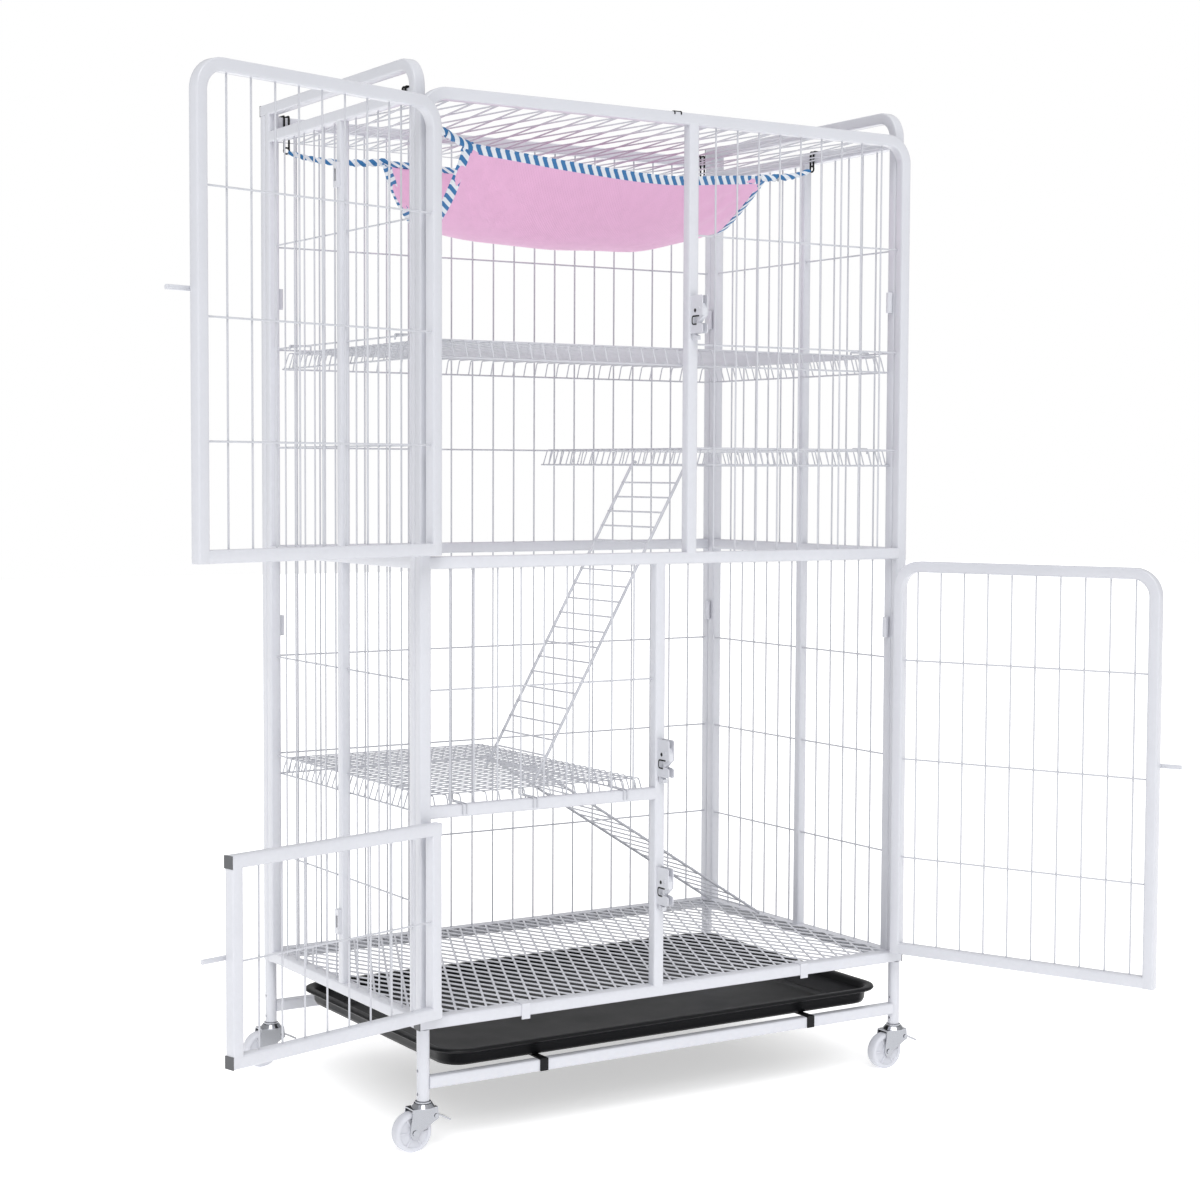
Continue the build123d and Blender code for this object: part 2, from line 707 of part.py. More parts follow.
for name, frame, ends, axis_x, side, edge, heights, latch_z, angle in doors:
    leaves = []
    for z in heights:
        post, door_leaf = hinge(axis_x, side, z)
        post_leaves.append(post)
        leaves.append(door_leaf)
    save(name, *opened([frame], axis_x, angle))
    save(name + "_leaves", *opened(leaves, axis_x, angle))
    save(name + "_striker", *opened([striker(edge, side, latch_z)], axis_x, angle))
    if ends:
        save(name + "_plugs", *opened(ends, axis_x, angle))
save("hinge_post_leaves", *post_leaves)


# Latches: a folded bracket on the bar, and a catch that drops behind the rod by its weight.
def latch(x, z):
    half = bracket_width / 2
    inner = half - bracket_sheet
    side_view = [(0, z - bracket_below), (-bracket_depth * 0.7, z - bracket_below),
                 (-bracket_depth, z - mouth_half), (-bracket_depth, z + bracket_above * 0.6),
                 (-bracket_depth * 0.7, z + bracket_above), (0, z + bracket_above)]
    bracket = prism("X", x - half, x + half, side_view)
    bracket = bracket - box(x - inner, x + inner, -bracket_depth, -bracket_sheet,
                            z - bracket_below, z + bracket_above)
    throat = slot_half - striker_forward
    mouth = [(-bracket_depth, z + mouth_half), (-bracket_depth / 2, z + slot_half),
             (throat, z + slot_half), (throat, z - slot_half), (-bracket_depth / 2, z - slot_half),
             (-bracket_depth, z - mouth_half)]
    bracket = bracket - prism("X", x - half, x + half, mouth)
    rivet_at = (-catch_rivet_back, z + catch_rivet_up)
    rivet = [small_bar("X", x - inner, x + inner, *rivet_at, rivet_radius, 8),
             small_bar("X", x - half - rivet_head_thick, x - half, *rivet_at, rivet_head, 8),
             small_bar("X", x + half, x + half + rivet_head_thick, *rivet_at, rivet_head, 8)]
    bracket = join([bracket] + rivet)
    back = -bracket_sheet - catch_clearance
    pocket = -striker_forward - striker_radius - catch_clearance - striker_radius / 6
    nose = -bracket_depth + 3 * catch_clearance + bracket_sheet
    outline = [(back, z - catch_tail), (pocket, z - catch_tail),
               (pocket, z - bracket_below - catch_clearance - spine_sheet),
               (back - spine_sheet, z - bracket_below - catch_clearance),
               (back - spine_sheet, z + slot_half), (pocket, z + slot_half),
               (pocket, z - catch_nose_drop), (pocket - bracket_sheet, z - catch_nose_drop),
               (nose, z + catch_nose_drop), (nose, z + catch_rivet_up),
               (nose + catch_nose_drop, z + catch_crown), (back, z + catch_crown)]
    thick = inner - catch_clearance
    catch = prism("X", x - thick, x + thick, outline)
    slot_radius = rivet_radius + rivet_clearance
    catch = catch - box(x - thick, x + thick, rivet_at[0] - slot_radius, rivet_at[0] + slot_radius,
                        rivet_at[1] - catch_travel - slot_radius, rivet_at[1] + slot_radius)
    return bracket, catch


upper_latch_x = upper_bar_x + mid
lower_latch_x = lower_bar_x + mid
brackets = []
for name, x, z in (("upper_catch", upper_latch_x, upper_latch_z),
                   ("small_catch", lower_latch_x, small_latch_z),
                   ("lower_catch", lower_latch_x, lower_latch_z)):
    bracket, catch = latch(x, z)
    brackets.append(bracket)
    save(name, catch)
save("latch_brackets", *brackets)


# Casters: a kingpin under each leg, a swivelling fork, a wheel on its axle and a brake pedal.
flange_z = leg_bottom - flange_thick
bearing_top = flange_z - running_gap
bearing_low = bearing_top - bearing_height
crown_low = bearing_low - fork_sheet
head_top = crown_low - running_gap
cheek_in = wheel_width / 2 + cheek_clearance
cheek_out = cheek_in + fork_sheet


def kingpin(x, y):
    return join([small_bar("Z", flange_z, leg_bottom, x, y, flange_radius, 16),
                 round_bar("Z", head_top, flange_z, x, y, kingpin_radius),
                 small_bar("Z", head_top - kingpin_head_thick, head_top, x, y, kingpin_head)])


def fork(x, y):
    axle_x = x - fork_offset
    boss = hub_radius
    side_view = [(bearing_low, x - fork_offset - wheel_edge), (bearing_low, x + bearing_radius),
                 (pedal_pin_z - pedal_hub_radius, x + bearing_radius + 1.5),
                 (pedal_pin_z - 2 * pedal_hub_radius, x + pedal_pin_x - pedal_hub_radius),
                 (wheel_radius, axle_x + boss), (wheel_radius - boss, axle_x + boss / 2),
                 (wheel_radius - boss, axle_x - boss / 2), (wheel_radius, axle_x - boss)]
    solid = prism("Y", y - cheek_out, y + cheek_out, side_view)
    gap = box(x - 2 * bearing_radius - fork_offset, x + 2 * bearing_radius, y - cheek_in,
              y + cheek_in, 0, crown_low)
    low_ring = Pos(x, y, bearing_low) * RegularPolygon(bearing_radius, 20)
    high_ring = Pos(x, y, bearing_top) * RegularPolygon(flange_radius + fork_sheet, 20)
    plate = small_bar("Z", crown_low, bearing_low, x, y, bearing_radius, 20)
    solid = join([solid - gap, plate, loft([low_ring, high_ring], ruled=True)])
    solid = solid - small_hole("Z", crown_low, bearing_top, x, y, kingpin_radius + axle_clearance)
    parts = [solid]
    for px, pz, radius in ((axle_x, wheel_radius, axle_radius),
                           (x + pedal_pin_x, pedal_pin_z, pedal_pin_radius)):
        parts.append(round_bar("Y", y - cheek_in, y + cheek_in, pz, px, radius))
        for side in (-cheek_out - pin_head_thick, cheek_out):
            parts.append(small_bar("Y", y + side, y + side + pin_head_thick, pz, px,
                                   radius + pin_head, 8))
    return join(parts)


def wheel(x, y):
    half = wheel_width / 2
    hub_half = half + cheek_clearance - running_gap
    bore_radius = axle_radius + axle_clearance
    centre = (wheel_radius, x - fork_offset)
    tread = small_bar("Y", y - half, y + half, *centre, wheel_radius, 36)
    rims = tread.faces().sort_by(Axis.Y)
    tread = chamfer((rims[0].edges() + rims[-1].edges()), wheel_edge)
    hub = small_bar("Y", y - hub_half, y + hub_half, *centre, hub_radius, 16)
    for side in (-1, 1):
        face = y + side * half
        dish = small_bar("Y", min(face, face - side * wheel_dish), max(face, face - side * wheel_dish),
                         *centre, wheel_radius - 2 * wheel_edge, 20)
        tread = tread - dish
    return join([tread, hub]) - small_hole("Y", y - hub_half, y + hub_half, *centre, bore_radius)


def pedal(x, y):
    """Brake lever on its pin: a tongue beside the tread and a broad foot plate."""
    cx = x + pedal_pin_x
    cz = pedal_pin_z
    inner = cheek_in - running_gap
    lean = pedal_sheet / 2
    to_axle = Vector(-fork_offset - pedal_pin_x, wheel_radius - pedal_pin_z)
    aim = to_axle.normalized().rotate(Axis.Z, brake_throw)
    tip = aim * (to_axle.length - wheel_radius - brake_gap)
    arm = prism("Y", y - inner, y + inner,
                [(cz + pedal_hub_radius, cx), (cz + lean, cx + pedal_hub_radius + lean),
                 (cz - lean, cx + pedal_hub_radius + lean), (cz - pedal_hub_radius, cx),
                 (cz + tip.Y + brake_shoe * aim.X, cx + tip.X - brake_shoe * aim.Y),
                 (cz + tip.Y - brake_shoe * aim.X, cx + tip.X + brake_shoe * aim.Y)])
    plate = prism("Y", y - pedal_width / 2, y + pedal_width / 2,
                  [(cz + lean, cx + pedal_hub_radius), (cz + lean, cx + pedal_hub_radius + lean),
                   (cz - pedal_drop + lean, cx + pedal_length),
                   (cz - pedal_drop - lean, cx + pedal_length - lean),
                   (cz - lean, cx + pedal_hub_radius + lean), (cz - lean, cx + pedal_hub_radius)])
    hub = small_bar("Y", y - inner, y + inner, cz, cx, pedal_hub_radius)
    hole = small_hole("Y", y - inner, y + inner, cz, cx, pedal_pin_radius + axle_clearance, 8)
    return join([arm, plate, hub]) - hole


save("caster_kingpins", *[kingpin(x, y) for x, y in leg_places])
caster_names = ("front_left", "rear_left", "front_right", "rear_right")
for name, (x, y) in zip(caster_names, leg_places):
    save("caster_fork_" + name, fork(x, y))
    save("caster_wheel_" + name, wheel(x, y))
    save("caster_brake_" + name, pedal(x, y))


# Hammock: a cloth that hangs in a deep belly, twisted into straps at its four corners.
def cloth_section(x, *places):
    plane = Plane(origin=(x, 0, 0), x_dir=(0, 1, 0), z_dir=(1, 0, 0))
    over = ThreePointArc(*[(y, front_top_z - drop) for y, drop in places])
    ring = [over @ (i / cloth_spans) for i in range(cloth_spans + 1)]
    ring += [Vector(point.X, point.Y - cloth) for point in reversed(ring)]
    return plane * make_face(Polyline(*ring, close=True))


sections = [cloth_section(*row) for row in zip(hem_x, hem_front, hem_belly, hem_back)]
cloth_body = loft(sections, ruled=True)


def strap(corner, end):
    """A twisted corner strap: a slim cone from the cloth's corner to its hook."""
    start = Vector(*corner)
    run = Vector(*end) - start
    plane = Plane(origin=start, z_dir=run.normalized())
    thick = plane * RegularPolygon(strap_thick, 8)
    thin = plane.offset(run.length) * RegularPolygon(strap_thin, 8)
    return loft([thick, thin], ruled=True)


hook_low = front_top_z - hook_tail
side_hook_x = inner_left + hook_gap + hook_sheet
strap_ends = [(side_hook_x + strap_thin, front_left_hook_y, hook_low),
              (cage_width - side_hook_x - strap_thin, front_right_hook_y, hook_low),
              (back_hook_inset, side_back - hook_gap - hook_sheet - strap_thin,
               hook_low),
              (cage_width - back_hook_inset, side_back - hook_gap - hook_sheet - strap_thin,
               hook_low)]
corners = []
for hem in (hem_front, hem_back):
    for end in (0, -1):
        corners.append((hem_x[end], hem[end][0], front_top_z - hem[end][1] - cloth / 2))
cloth_solid = join([cloth_body] + [strap(c, e) for c, e in zip(corners, strap_ends)])
save("hammock", cloth_solid)


def bar_hook(axis, at, face, inward, bar_low, low):
    """A flat hook bent over a square bar; face is the bar's outer face."""
    outer = face - inward * hook_gap
    inner = face + inward * (tube + hook_gap)
    top = bar_low + tube + hook_gap
    points = [(outer, bar_low + tube / 3), (outer, top), (inner, top), (inner, low),
              (inner + inward * hook_sheet, low), (inner + inward * hook_sheet, top + hook_sheet),
              (outer - inward * hook_sheet, top + hook_sheet),
              (outer - inward * hook_sheet, bar_low + tube / 3)]
    if axis == "Y":
        points = [(b, a) for a, b in points]
    return prism(axis, at - hook_width / 2, at + hook_width / 2, points)


hooks = [bar_hook("Y", front_left_hook_y, 0, 1, front_top_z, hook_low),
         bar_hook("Y", front_right_hook_y, cage_width, -1, front_top_z, hook_low),
         bar_hook("X", back_hook_inset, cage_depth, -1, back_top_z, hook_low),
         bar_hook("X", cage_width - back_hook_inset, cage_depth, -1, back_top_z, hook_low)]
save("hammock_hooks", *hooks)
roof = pieces["roof_net"][0]
for hook in hooks:
    size = hook.bounding_box()
    roof = roof - box(size.min.X - hook_gap, size.max.X + hook_gap, size.min.Y - hook_gap,
                      size.max.Y + hook_gap, roof_net_z, roof_net_z + net_sheet)
save("roof_net", roof)

# Clips, slot brackets and panel connectors.
deck_clips = []
for x in deck_clip_x:
    deck_clips.append(prism("X", x - clip_width / 2, x + clip_width / 2,
                            [(-clip_sheet, floor_z - 3 * clip_sheet), (0, floor_z - 3 * clip_sheet),
                             (0, deck_z), (side_front + net_rim, deck_z),
                             (side_front + net_rim, deck_z + clip_sheet),
                             (-clip_sheet, deck_z + clip_sheet)]))
save("deck_clips", *deck_clips)
save("roof_clip", prism("X", roof_clip_x - clip_width / 2, roof_clip_x + clip_width / 2,
                        [(-clip_sheet, front_top_z + clip_sheet), (0, front_top_z + clip_sheet),
                         (0, front_top), (tube, front_top), (tube, front_top_z + 3 * net_sheet),
                         (tube + clip_sheet, front_top_z + 3 * net_sheet),
                         (tube + clip_sheet, front_top + clip_sheet),
                         (-clip_sheet, front_top + clip_sheet)]))
slot_brackets = []
post_face = (tube - side_post) / 2
for z in bracket_slot_z:
    y = side_post_y + side_post / 2
    block = box(post_face - slot_bracket_depth, post_face, y - slot_bracket_width / 2,
                y + slot_bracket_width / 2, z - slot_bracket_height / 2, z + slot_bracket_height / 2)
    slot = box(post_face - slot_bracket_depth, post_face - clip_sheet, y - slot_bracket_width / 4,
               y + slot_bracket_width / 4, z - slot_bracket_height / 4, z + slot_bracket_height / 4)
    slot_brackets.append(block - slot)
save("slot_brackets", *slot_brackets)
connectors = []
for x in (inner_left + connector_radius, inner_right - connector_radius):
    for y in (side_front + connector_radius + hook_gap, side_back - connector_radius - hook_gap):
        for z in connector_z:
            connectors.append(small_bar("Z", z - connector_height / 2, z + connector_height / 2,
                                        x, y, connector_radius))
save("panel_connectors", *connectors)

# Origin: the middle of the open cage's footprint, on the ground.
everything = [solid for solids in pieces.values() for solid in solids]
extent = Compound(children=[Compound(everything)]).bounding_box()
origin = ((extent.min.X + extent.max.X) / 2, (extent.min.Y + extent.max.Y) / 2, 0.0)
os.makedirs("parts", exist_ok=True)
for name, solids in pieces.items():
    placed = [Pos(-origin[0], -origin[1], -origin[2]) * solid for solid in solids]
    shape = placed[0] if len(placed) == 1 else Compound(placed)
    export_step(shape, os.path.join("parts", name + ".step"))
print("pieces", len(pieces), "origin", [round(v, 2) for v in origin], "low", extent.min.Z,
      "high", extent.max.Z)
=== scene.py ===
import math

import bmesh
import bpy
from bpy.props import FloatProperty, FloatVectorProperty, IntProperty, PointerProperty
from mathutils import Matrix, Quaternion, Vector


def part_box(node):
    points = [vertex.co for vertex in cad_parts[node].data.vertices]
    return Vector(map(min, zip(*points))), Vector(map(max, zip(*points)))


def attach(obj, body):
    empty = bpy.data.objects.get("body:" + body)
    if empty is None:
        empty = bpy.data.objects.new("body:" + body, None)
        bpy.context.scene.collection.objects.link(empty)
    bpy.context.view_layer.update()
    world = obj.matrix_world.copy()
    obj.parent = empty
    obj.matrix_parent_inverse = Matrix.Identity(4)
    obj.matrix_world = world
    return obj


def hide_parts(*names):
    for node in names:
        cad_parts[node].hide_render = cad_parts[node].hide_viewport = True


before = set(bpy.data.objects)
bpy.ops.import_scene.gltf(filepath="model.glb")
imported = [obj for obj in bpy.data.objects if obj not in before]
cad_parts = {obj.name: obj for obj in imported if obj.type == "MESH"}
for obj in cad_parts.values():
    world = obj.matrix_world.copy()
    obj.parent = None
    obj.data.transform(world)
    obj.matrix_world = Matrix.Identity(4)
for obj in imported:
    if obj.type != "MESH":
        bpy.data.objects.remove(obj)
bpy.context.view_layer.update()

bl_info = {
    "name": "Wire cat cage",
    "version": (1, 0, 0),
    "blender": (4, 5, 0),
    "location": "View3D > Sidebar > Cat cage",
    "description": "Builds the tubes, wires, nets, shelves, hammock and casters of a cat cage",
    "category": "Object",
}

# The front lower left corner of the cage: everything is drawn from it, in metres.
CORNER = Vector((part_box("left_panel")[0].x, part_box("front_frame")[0].y, 0.0))
AXIS = {"X": Vector((1, 0, 0)), "Y": Vector((0, 1, 0)), "Z": Vector((0, 0, 1))}


def size(name, about, default):
    return FloatProperty(name=name, description=about, default=default, unit="LENGTH", precision=4)


def colour(name, about, default):
    return FloatVectorProperty(name=name, description=about, default=default, subtype="COLOR",
                               size=3, min=0, max=1)


def opening(name, degrees):
    return FloatProperty(name=name, description="How far the %s stands open" % name.lower(),
                         default=math.radians(degrees), subtype="ANGLE")


class CageSizes(bpy.types.PropertyGroup):
    width: size("Width", "Outside width of the front", 0.760)
    depth: size("Depth", "Outside depth of the sides", 0.475)
    tube: size("Tube", "Side of the square tube", 0.015)
    tube_edge: size("Tube edge", "Rounding along the tube's four edges", 0.0022)
    bend: size("Bend", "Bend of the big corners, along the tube's middle", 0.0305)
    floor: size("Floor", "Underside of the floor bars", 0.150)
    middle: size("Middle", "Underside of the middle bars", 0.716)
    front_top: size("Front top", "Underside of the front's top bar", 1.282)
    rail_lift: size("Rail lift", "From the front's top to the raised side rails", 0.0225)
    post: size("Side post", "Side of the slimmer post in the middle of each side", 0.013)
    post_y: size("Post place", "Front face of that post", 0.2225)
    wire: size("Wire", "Thickness of the wires", 0.0024)
    leg: size("Leg", "Radius of the round legs", 0.008)
    leg_bottom: size("Leg bottom", "Lower end of the legs", 0.061)
    low_rail: size("Low rail", "Underside of the low rails", 0.076)
    upper_door: size("Upper door", "Width of the upper doorway", 0.376)
    lower_bay: size("Lower bay", "Width of the lower left bay", 0.328)
    small_door: size("Small door", "Height of the small doorway", 0.245)


class PanelWires(bpy.types.PropertyGroup):
    back_pitch: size("Back pitch", "Between the back's upright wires", 0.0348)
    back_count: IntProperty(name="Back wires", description="Upright wires in the back", default=20)
    side_pitch: size("Side pitch", "Between a side's upright wires", 0.0314)
    side_count: IntProperty(name="Side wires", description="Upright wires in a side", default=12)
    front_pitch: size("Front pitch", "Between the front's upper wires", 0.0346)
    front_count: IntProperty(name="Front wires", description="Upper front wires", default=9)
    grille_pitch: size("Grille pitch", "Between the lower grille's wires", 0.0336)
    grille_count: IntProperty(name="Grille wires", description="Lower grille wires", default=9)


class DoorSizes(bpy.types.PropertyGroup):
    gap: size("Gap", "Round each closed door", 0.002)
    hinge_gap: size("Hinge gap", "Between a door and its post", 0.003)
    corner: size("Corner", "Bend of the two upper corners", 0.030)
    wire_pitch: size("Wire pitch", "Between a large door's upright wires", 0.0348)
    small_pitch: size("Small door's pitch", "Between the small door's upright wires", 0.0338)
    upper_open: opening("Upper door", 163)
    small_open: opening("Small door", 164)
    lower_open: opening("Lower door", 113)


class ShelfSizes(bpy.types.PropertyGroup):
    row_pitch: size("Row pitch", "Between the wires that run along a shelf", 0.016)
    cross_pitch: size("Cross pitch", "Between the wires that run across a shelf", 0.0185)
    flare: size("Flare", "How far the lip leans outwards", 0.008)
    drop: size("Drop", "Depth of the lip", 0.022)
    bend: size("Bend", "Bend of the wires into the lip", 0.004)
    shelf_wire: size("Shelf wire", "Thickness of a shelf's wires", 0.0018)
    side_shelf: size("Side shelf", "Width of the side shelf", 0.310)
    ladder_length: size("Ladder length", "Length of each ladder", 0.470)
    ladder_width: size("Ladder width", "Between the ladder's two rails", 0.132)
    rail: size("Ladder rail", "Thickness of a ladder's rail", 0.004)
    rung_pitch: size("Rung pitch", "Between the rungs", 0.0225)


class NetSizes(bpy.types.PropertyGroup):
    roof_x: size("Roof mesh width", "Width of a roof diamond", 0.0348)
    roof_y: size("Roof mesh length", "Length of a roof diamond", 0.222)
    floor_x: size("Floor mesh width", "Width of a floor diamond", 0.0215)
    floor_y: size("Floor mesh length", "Length of a floor diamond", 0.048)
    strand: size("Strand", "Width of a roof strand", 0.0018)
    floor_strand: size("Floor strand", "Width of a floor strand", 0.0031)
    sheet: size("Sheet", "Thickness of the slit sheet", 0.0010)


class ClothSizes(bpy.types.PropertyGroup):
    thick: size("Thickness", "Thickness of the cloth", 0.0012)
    binding: size("Binding", "Width of the striped binding", 0.0120)
    stripe: size("Stripe", "One blue and one white stripe together", 0.0165)
    left_hook: size("Left hook", "From the front to the hook on the left bar", 0.039)
    right_hook: size("Right hook", "From the front to the hook on the right bar", 0.202)
    back_hook: size("Back hooks", "From each side to the hooks on the back bar", 0.032)
    crease: size("Crease", "Height of the soft creases", 0.0026)


class Finishes(bpy.types.PropertyGroup):
    paint: colour("Paint", "Powder coat on the tubes", (0.60, 0.61, 0.655))
    # Painted shade: the wires' coat is set darker than the tube paint, standing in for the shade that the thin
    # wires show.
    wire: colour("Wire", "Coat on the wires", (0.52, 0.53, 0.57))
    tray: colour("Tray", "Moulded tray", (0.004, 0.0042, 0.005))
    plug: colour("Plugs", "Grey plugs in the tube ends", (0.085, 0.088, 0.095))
    zinc: colour("Zinc", "Plated forks", (0.42, 0.43, 0.46))
    nylon: colour("Nylon", "Wheels", (0.60, 0.61, 0.66))
    cloth: colour("Cloth", "Hammock cloth", (0.74, 0.41, 0.62))
    blue: colour("Blue", "Blue of the binding", (0.022, 0.15, 0.36))
    white: colour("White", "White of the binding", (0.70, 0.735, 0.78))
    floor: colour("Floor", "Studio floor", (0.93, 0.93, 0.93))


def sizes():
    return bpy.context.scene.cage_sizes


def cage_box(name):
    """The box of a CAD piece, measured from the cage's corner."""
    return [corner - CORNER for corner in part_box(name)]


# Node groups shared by the finishes -----------------------------------------------------------

def group(name, inputs, outputs):
    tree = bpy.data.node_groups.new(name, "ShaderNodeTree")
    for label, kind, value in inputs:
        socket = tree.interface.new_socket(label, in_out="INPUT", socket_type=kind)
        socket.default_value = value
    for label, kind in outputs:
        tree.interface.new_socket(label, in_out="OUTPUT", socket_type=kind)
    return tree, tree.nodes.new("NodeGroupInput"), tree.nodes.new("NodeGroupOutput")


def node(tree, kind, links=(), **values):
    made = tree.nodes.new(kind)
    for key, value in values.items():
        setattr(made, key, value)
    for socket, source in links:
        if isinstance(source, bpy.types.NodeSocket):
            tree.links.new(source, made.inputs[socket])
        else:
            made.inputs[socket].default_value = source
    return made


def mix_colour(tree, factor, a, b):
    made = node(tree, "ShaderNodeMix", data_type="RGBA")
    for socket, source in ((made.inputs[0], factor), (made.inputs[6], a), (made.inputs[7], b)):
        if isinstance(source, bpy.types.NodeSocket):
            tree.links.new(source, socket)
        else:
            socket.default_value = source
    return made.outputs[2]


def reckon(tree, operation, first, second=None, clamp=False):
    """The result of one arithmetic node."""
    links = [(0, first)] if second is None else [(0, first), (1, second)]
    return node(tree, "ShaderNodeMath", links, operation=operation, use_clamp=clamp).outputs[0]


def noise(tree, place, scale, detail):
    links = [("Vector", place), ("Scale", scale), ("Detail", detail)]
    return node(tree, "ShaderNodeTexNoise", links).outputs[0]


def ramp(tree, value, low, high, bottom=0.0, top=1.0):
    return node(tree, "ShaderNodeMapRange", [("Value", value), ("From Min", low), ("From Max", high),
                                             ("To Min", bottom), ("To Max", top)]).outputs[0]


def put_out(tree, end, **results):
    for label, source in results.items():
        tree.links.new(source, end.inputs[label])
    return tree


COLOUR, NUMBER = "NodeSocketColor", "NodeSocketFloat"
PALE, DULL = (0.8, 0.8, 0.8, 1), (0.5, 0.5, 0.5, 1)


def coat_grain():
    """Powder coat: a fine orange peel, a faint unevenness of colour and of gloss."""
    tree, start, end = group("coat_grain", [
        ("Colour", COLOUR, PALE), ("Shade", COLOUR, DULL), ("Peel Scale", NUMBER, 900.0),
        ("Roughness", NUMBER, 0.35)], [("Colour", COLOUR), ("Roughness", NUMBER), ("Height", NUMBER)])
    given = start.outputs
    place = node(tree, "ShaderNodeTexCoord").outputs["Object"]
    cloud = noise(tree, place, 14.0, 3.0)
    spread = ramp(tree, cloud, 0.35, 0.75, 0.0, 0.6)
    return put_out(tree, end, Height=noise(tree, place, given["Peel Scale"], 2.0),
                   Colour=mix_colour(tree, spread, given["Colour"], given["Shade"]),
                   Roughness=reckon(tree, "ADD", reckon(tree, "MULTIPLY", cloud, 0.18),
                                    given["Roughness"]))


def edge_wear():
    """Lighter, rubbed colour where the surface turns sharply, broken up by noise."""
    tree, start, end = group("edge_wear", [
        ("Colour", COLOUR, DULL), ("Worn", COLOUR, PALE), ("Amount", NUMBER, 0.5)],
        [("Colour", COLOUR), ("Mask", NUMBER)])
    given = start.outputs
    edge = ramp(tree, node(tree, "ShaderNodeNewGeometry").outputs["Pointiness"], 0.52, 0.60)
    broken = reckon(tree, "MULTIPLY", edge,
                    noise(tree, node(tree, "ShaderNodeTexCoord").outputs["Object"], 160.0, 4.0))
    mask = reckon(tree, "MULTIPLY", broken, given["Amount"], clamp=True)
    return put_out(tree, end, Mask=mask, Colour=mix_colour(tree, mask, given["Colour"], given["Worn"]))


def flat_place(tree):
    """Where a point lies on the cloth before it was hung, and its two parts."""
    flat = node(tree, "ShaderNodeUVMap", uv_map="flat").outputs[0]
    return flat, node(tree, "ShaderNodeSeparateXYZ", [("Vector", flat)]).outputs


def plain_weave():
    """Warp and weft of a plain cloth, drawn from its own flat coordinates."""
    tree, start, end = group("plain_weave", [
        ("Colour", COLOUR, PALE), ("Shade", COLOUR, DULL), ("Threads", NUMBER, 1400.0)],
        [("Colour", COLOUR), ("Height", NUMBER)])
    given = start.outputs
    flat, parts = flat_place(tree)
    warp, weft = (reckon(tree, "SINE", reckon(tree, "MULTIPLY", parts[axis], given["Threads"]))
                  for axis in (0, 1))
    slub = noise(tree, flat, 60.0, 5.0)
    shade = ramp(tree, slub, 0.4, 0.8, 0.0, 0.7)
    return put_out(tree, end, Colour=mix_colour(tree, shade, given["Colour"], given["Shade"]),
                   Height=reckon(tree, "ADD", reckon(tree, "MULTIPLY", warp, weft), slub))


def slant_stripes():
    """Slanting stripes along a tape, drawn from its own flat coordinates."""
    tree, start, end = group("slant_stripes", [
        ("First", COLOUR, DULL), ("Second", COLOUR, PALE), ("Pitch", NUMBER, 0.0135)],
        [("Colour", COLOUR)])
    given = start.outputs
    _, parts = flat_place(tree)
    slant = reckon(tree, "SUBTRACT", parts[0], parts[1])
    part = reckon(tree, "FRACT", reckon(tree, "DIVIDE", slant, given["Pitch"]))
    side = ramp(tree, part, 0.47, 0.53)
    return put_out(tree, end, Colour=mix_colour(tree, side, given["First"], given["Second"]))


def shared(name, build):
    return bpy.data.node_groups.get(name) or build()


def placed_group(tree, name, build, **values):
    made = node(tree, "ShaderNodeGroup", node_tree=shared(name, build))
    for label, value in values.items():
        made.inputs[label.replace("_", " ")].default_value = value
    return made


def rgba(values, times=1.0):
    return (values[0] * times, values[1] * times, values[2] * times, 1.0)


def blank(name, **settings):
    material = bpy.data.materials.new(name)
    material.use_nodes = True
    shader = material.node_tree.nodes["Principled BSDF"]
    for label, value in settings.items():
        shader.inputs[label.replace("_", " ")].default_value = value
    return material, material.node_tree, shader


def bump(tree, shader, height, strength, distance):
    made = node(tree, "ShaderNodeBump", [("Height", height), ("Strength", strength),
                                         ("Distance", distance)])
    tree.links.new(made.outputs[0], shader.inputs["Normal"])


def coated(name, base, roughness, peel=900.0, strength=0.25, **settings):
    """A coated or moulded finish, with its grain and a rub along its edges."""
    material, tree, shader = blank(name, **settings)
    grain = placed_group(tree, "coat_grain", coat_grain, Colour=rgba(base), Shade=rgba(base, 0.93),
                         Peel_Scale=peel, Roughness=roughness)
    wear = placed_group(tree, "edge_wear", edge_wear, Worn=rgba([min(1, v * 1.12 + 0.02) for v in base]),
                        Amount=0.5)
    tree.links.new(grain.outputs["Colour"], wear.inputs["Colour"])
    tree.links.new(wear.outputs["Colour"], shader.inputs["Base Color"])
    tree.links.new(grain.outputs["Roughness"], shader.inputs["Roughness"])
    bump(tree, shader, grain.outputs["Height"], strength, 0.0002)
    return material


def woven(name, base, threads=1400.0):
    material, tree, shader = blank(name, Roughness=0.85, Sheen_Weight=0.25, Sheen_Roughness=0.5)
    weave = placed_group(tree, "plain_weave", plain_weave, Colour=rgba(base), Shade=rgba(base, 0.92),
                         Threads=threads)
    tree.links.new(weave.outputs["Colour"], shader.inputs["Base Color"])
    bump(tree, shader, weave.outputs["Height"], 0.35, 0.0003)
    return material


def striped(name, first, second, pitch):
    material, tree, shader = blank(name, Roughness=0.8, Sheen_Weight=0.15)
    stripes = placed_group(tree, "slant_stripes", slant_stripes, First=rgba(first),
                           Second=rgba(second), Pitch=pitch)
    weave = placed_group(tree, "plain_weave", plain_weave, Threads=1900.0)
    tree.links.new(stripes.outputs["Colour"], shader.inputs["Base Color"])
    bump(tree, shader, weave.outputs["Height"], 0.4, 0.0003)
    return material


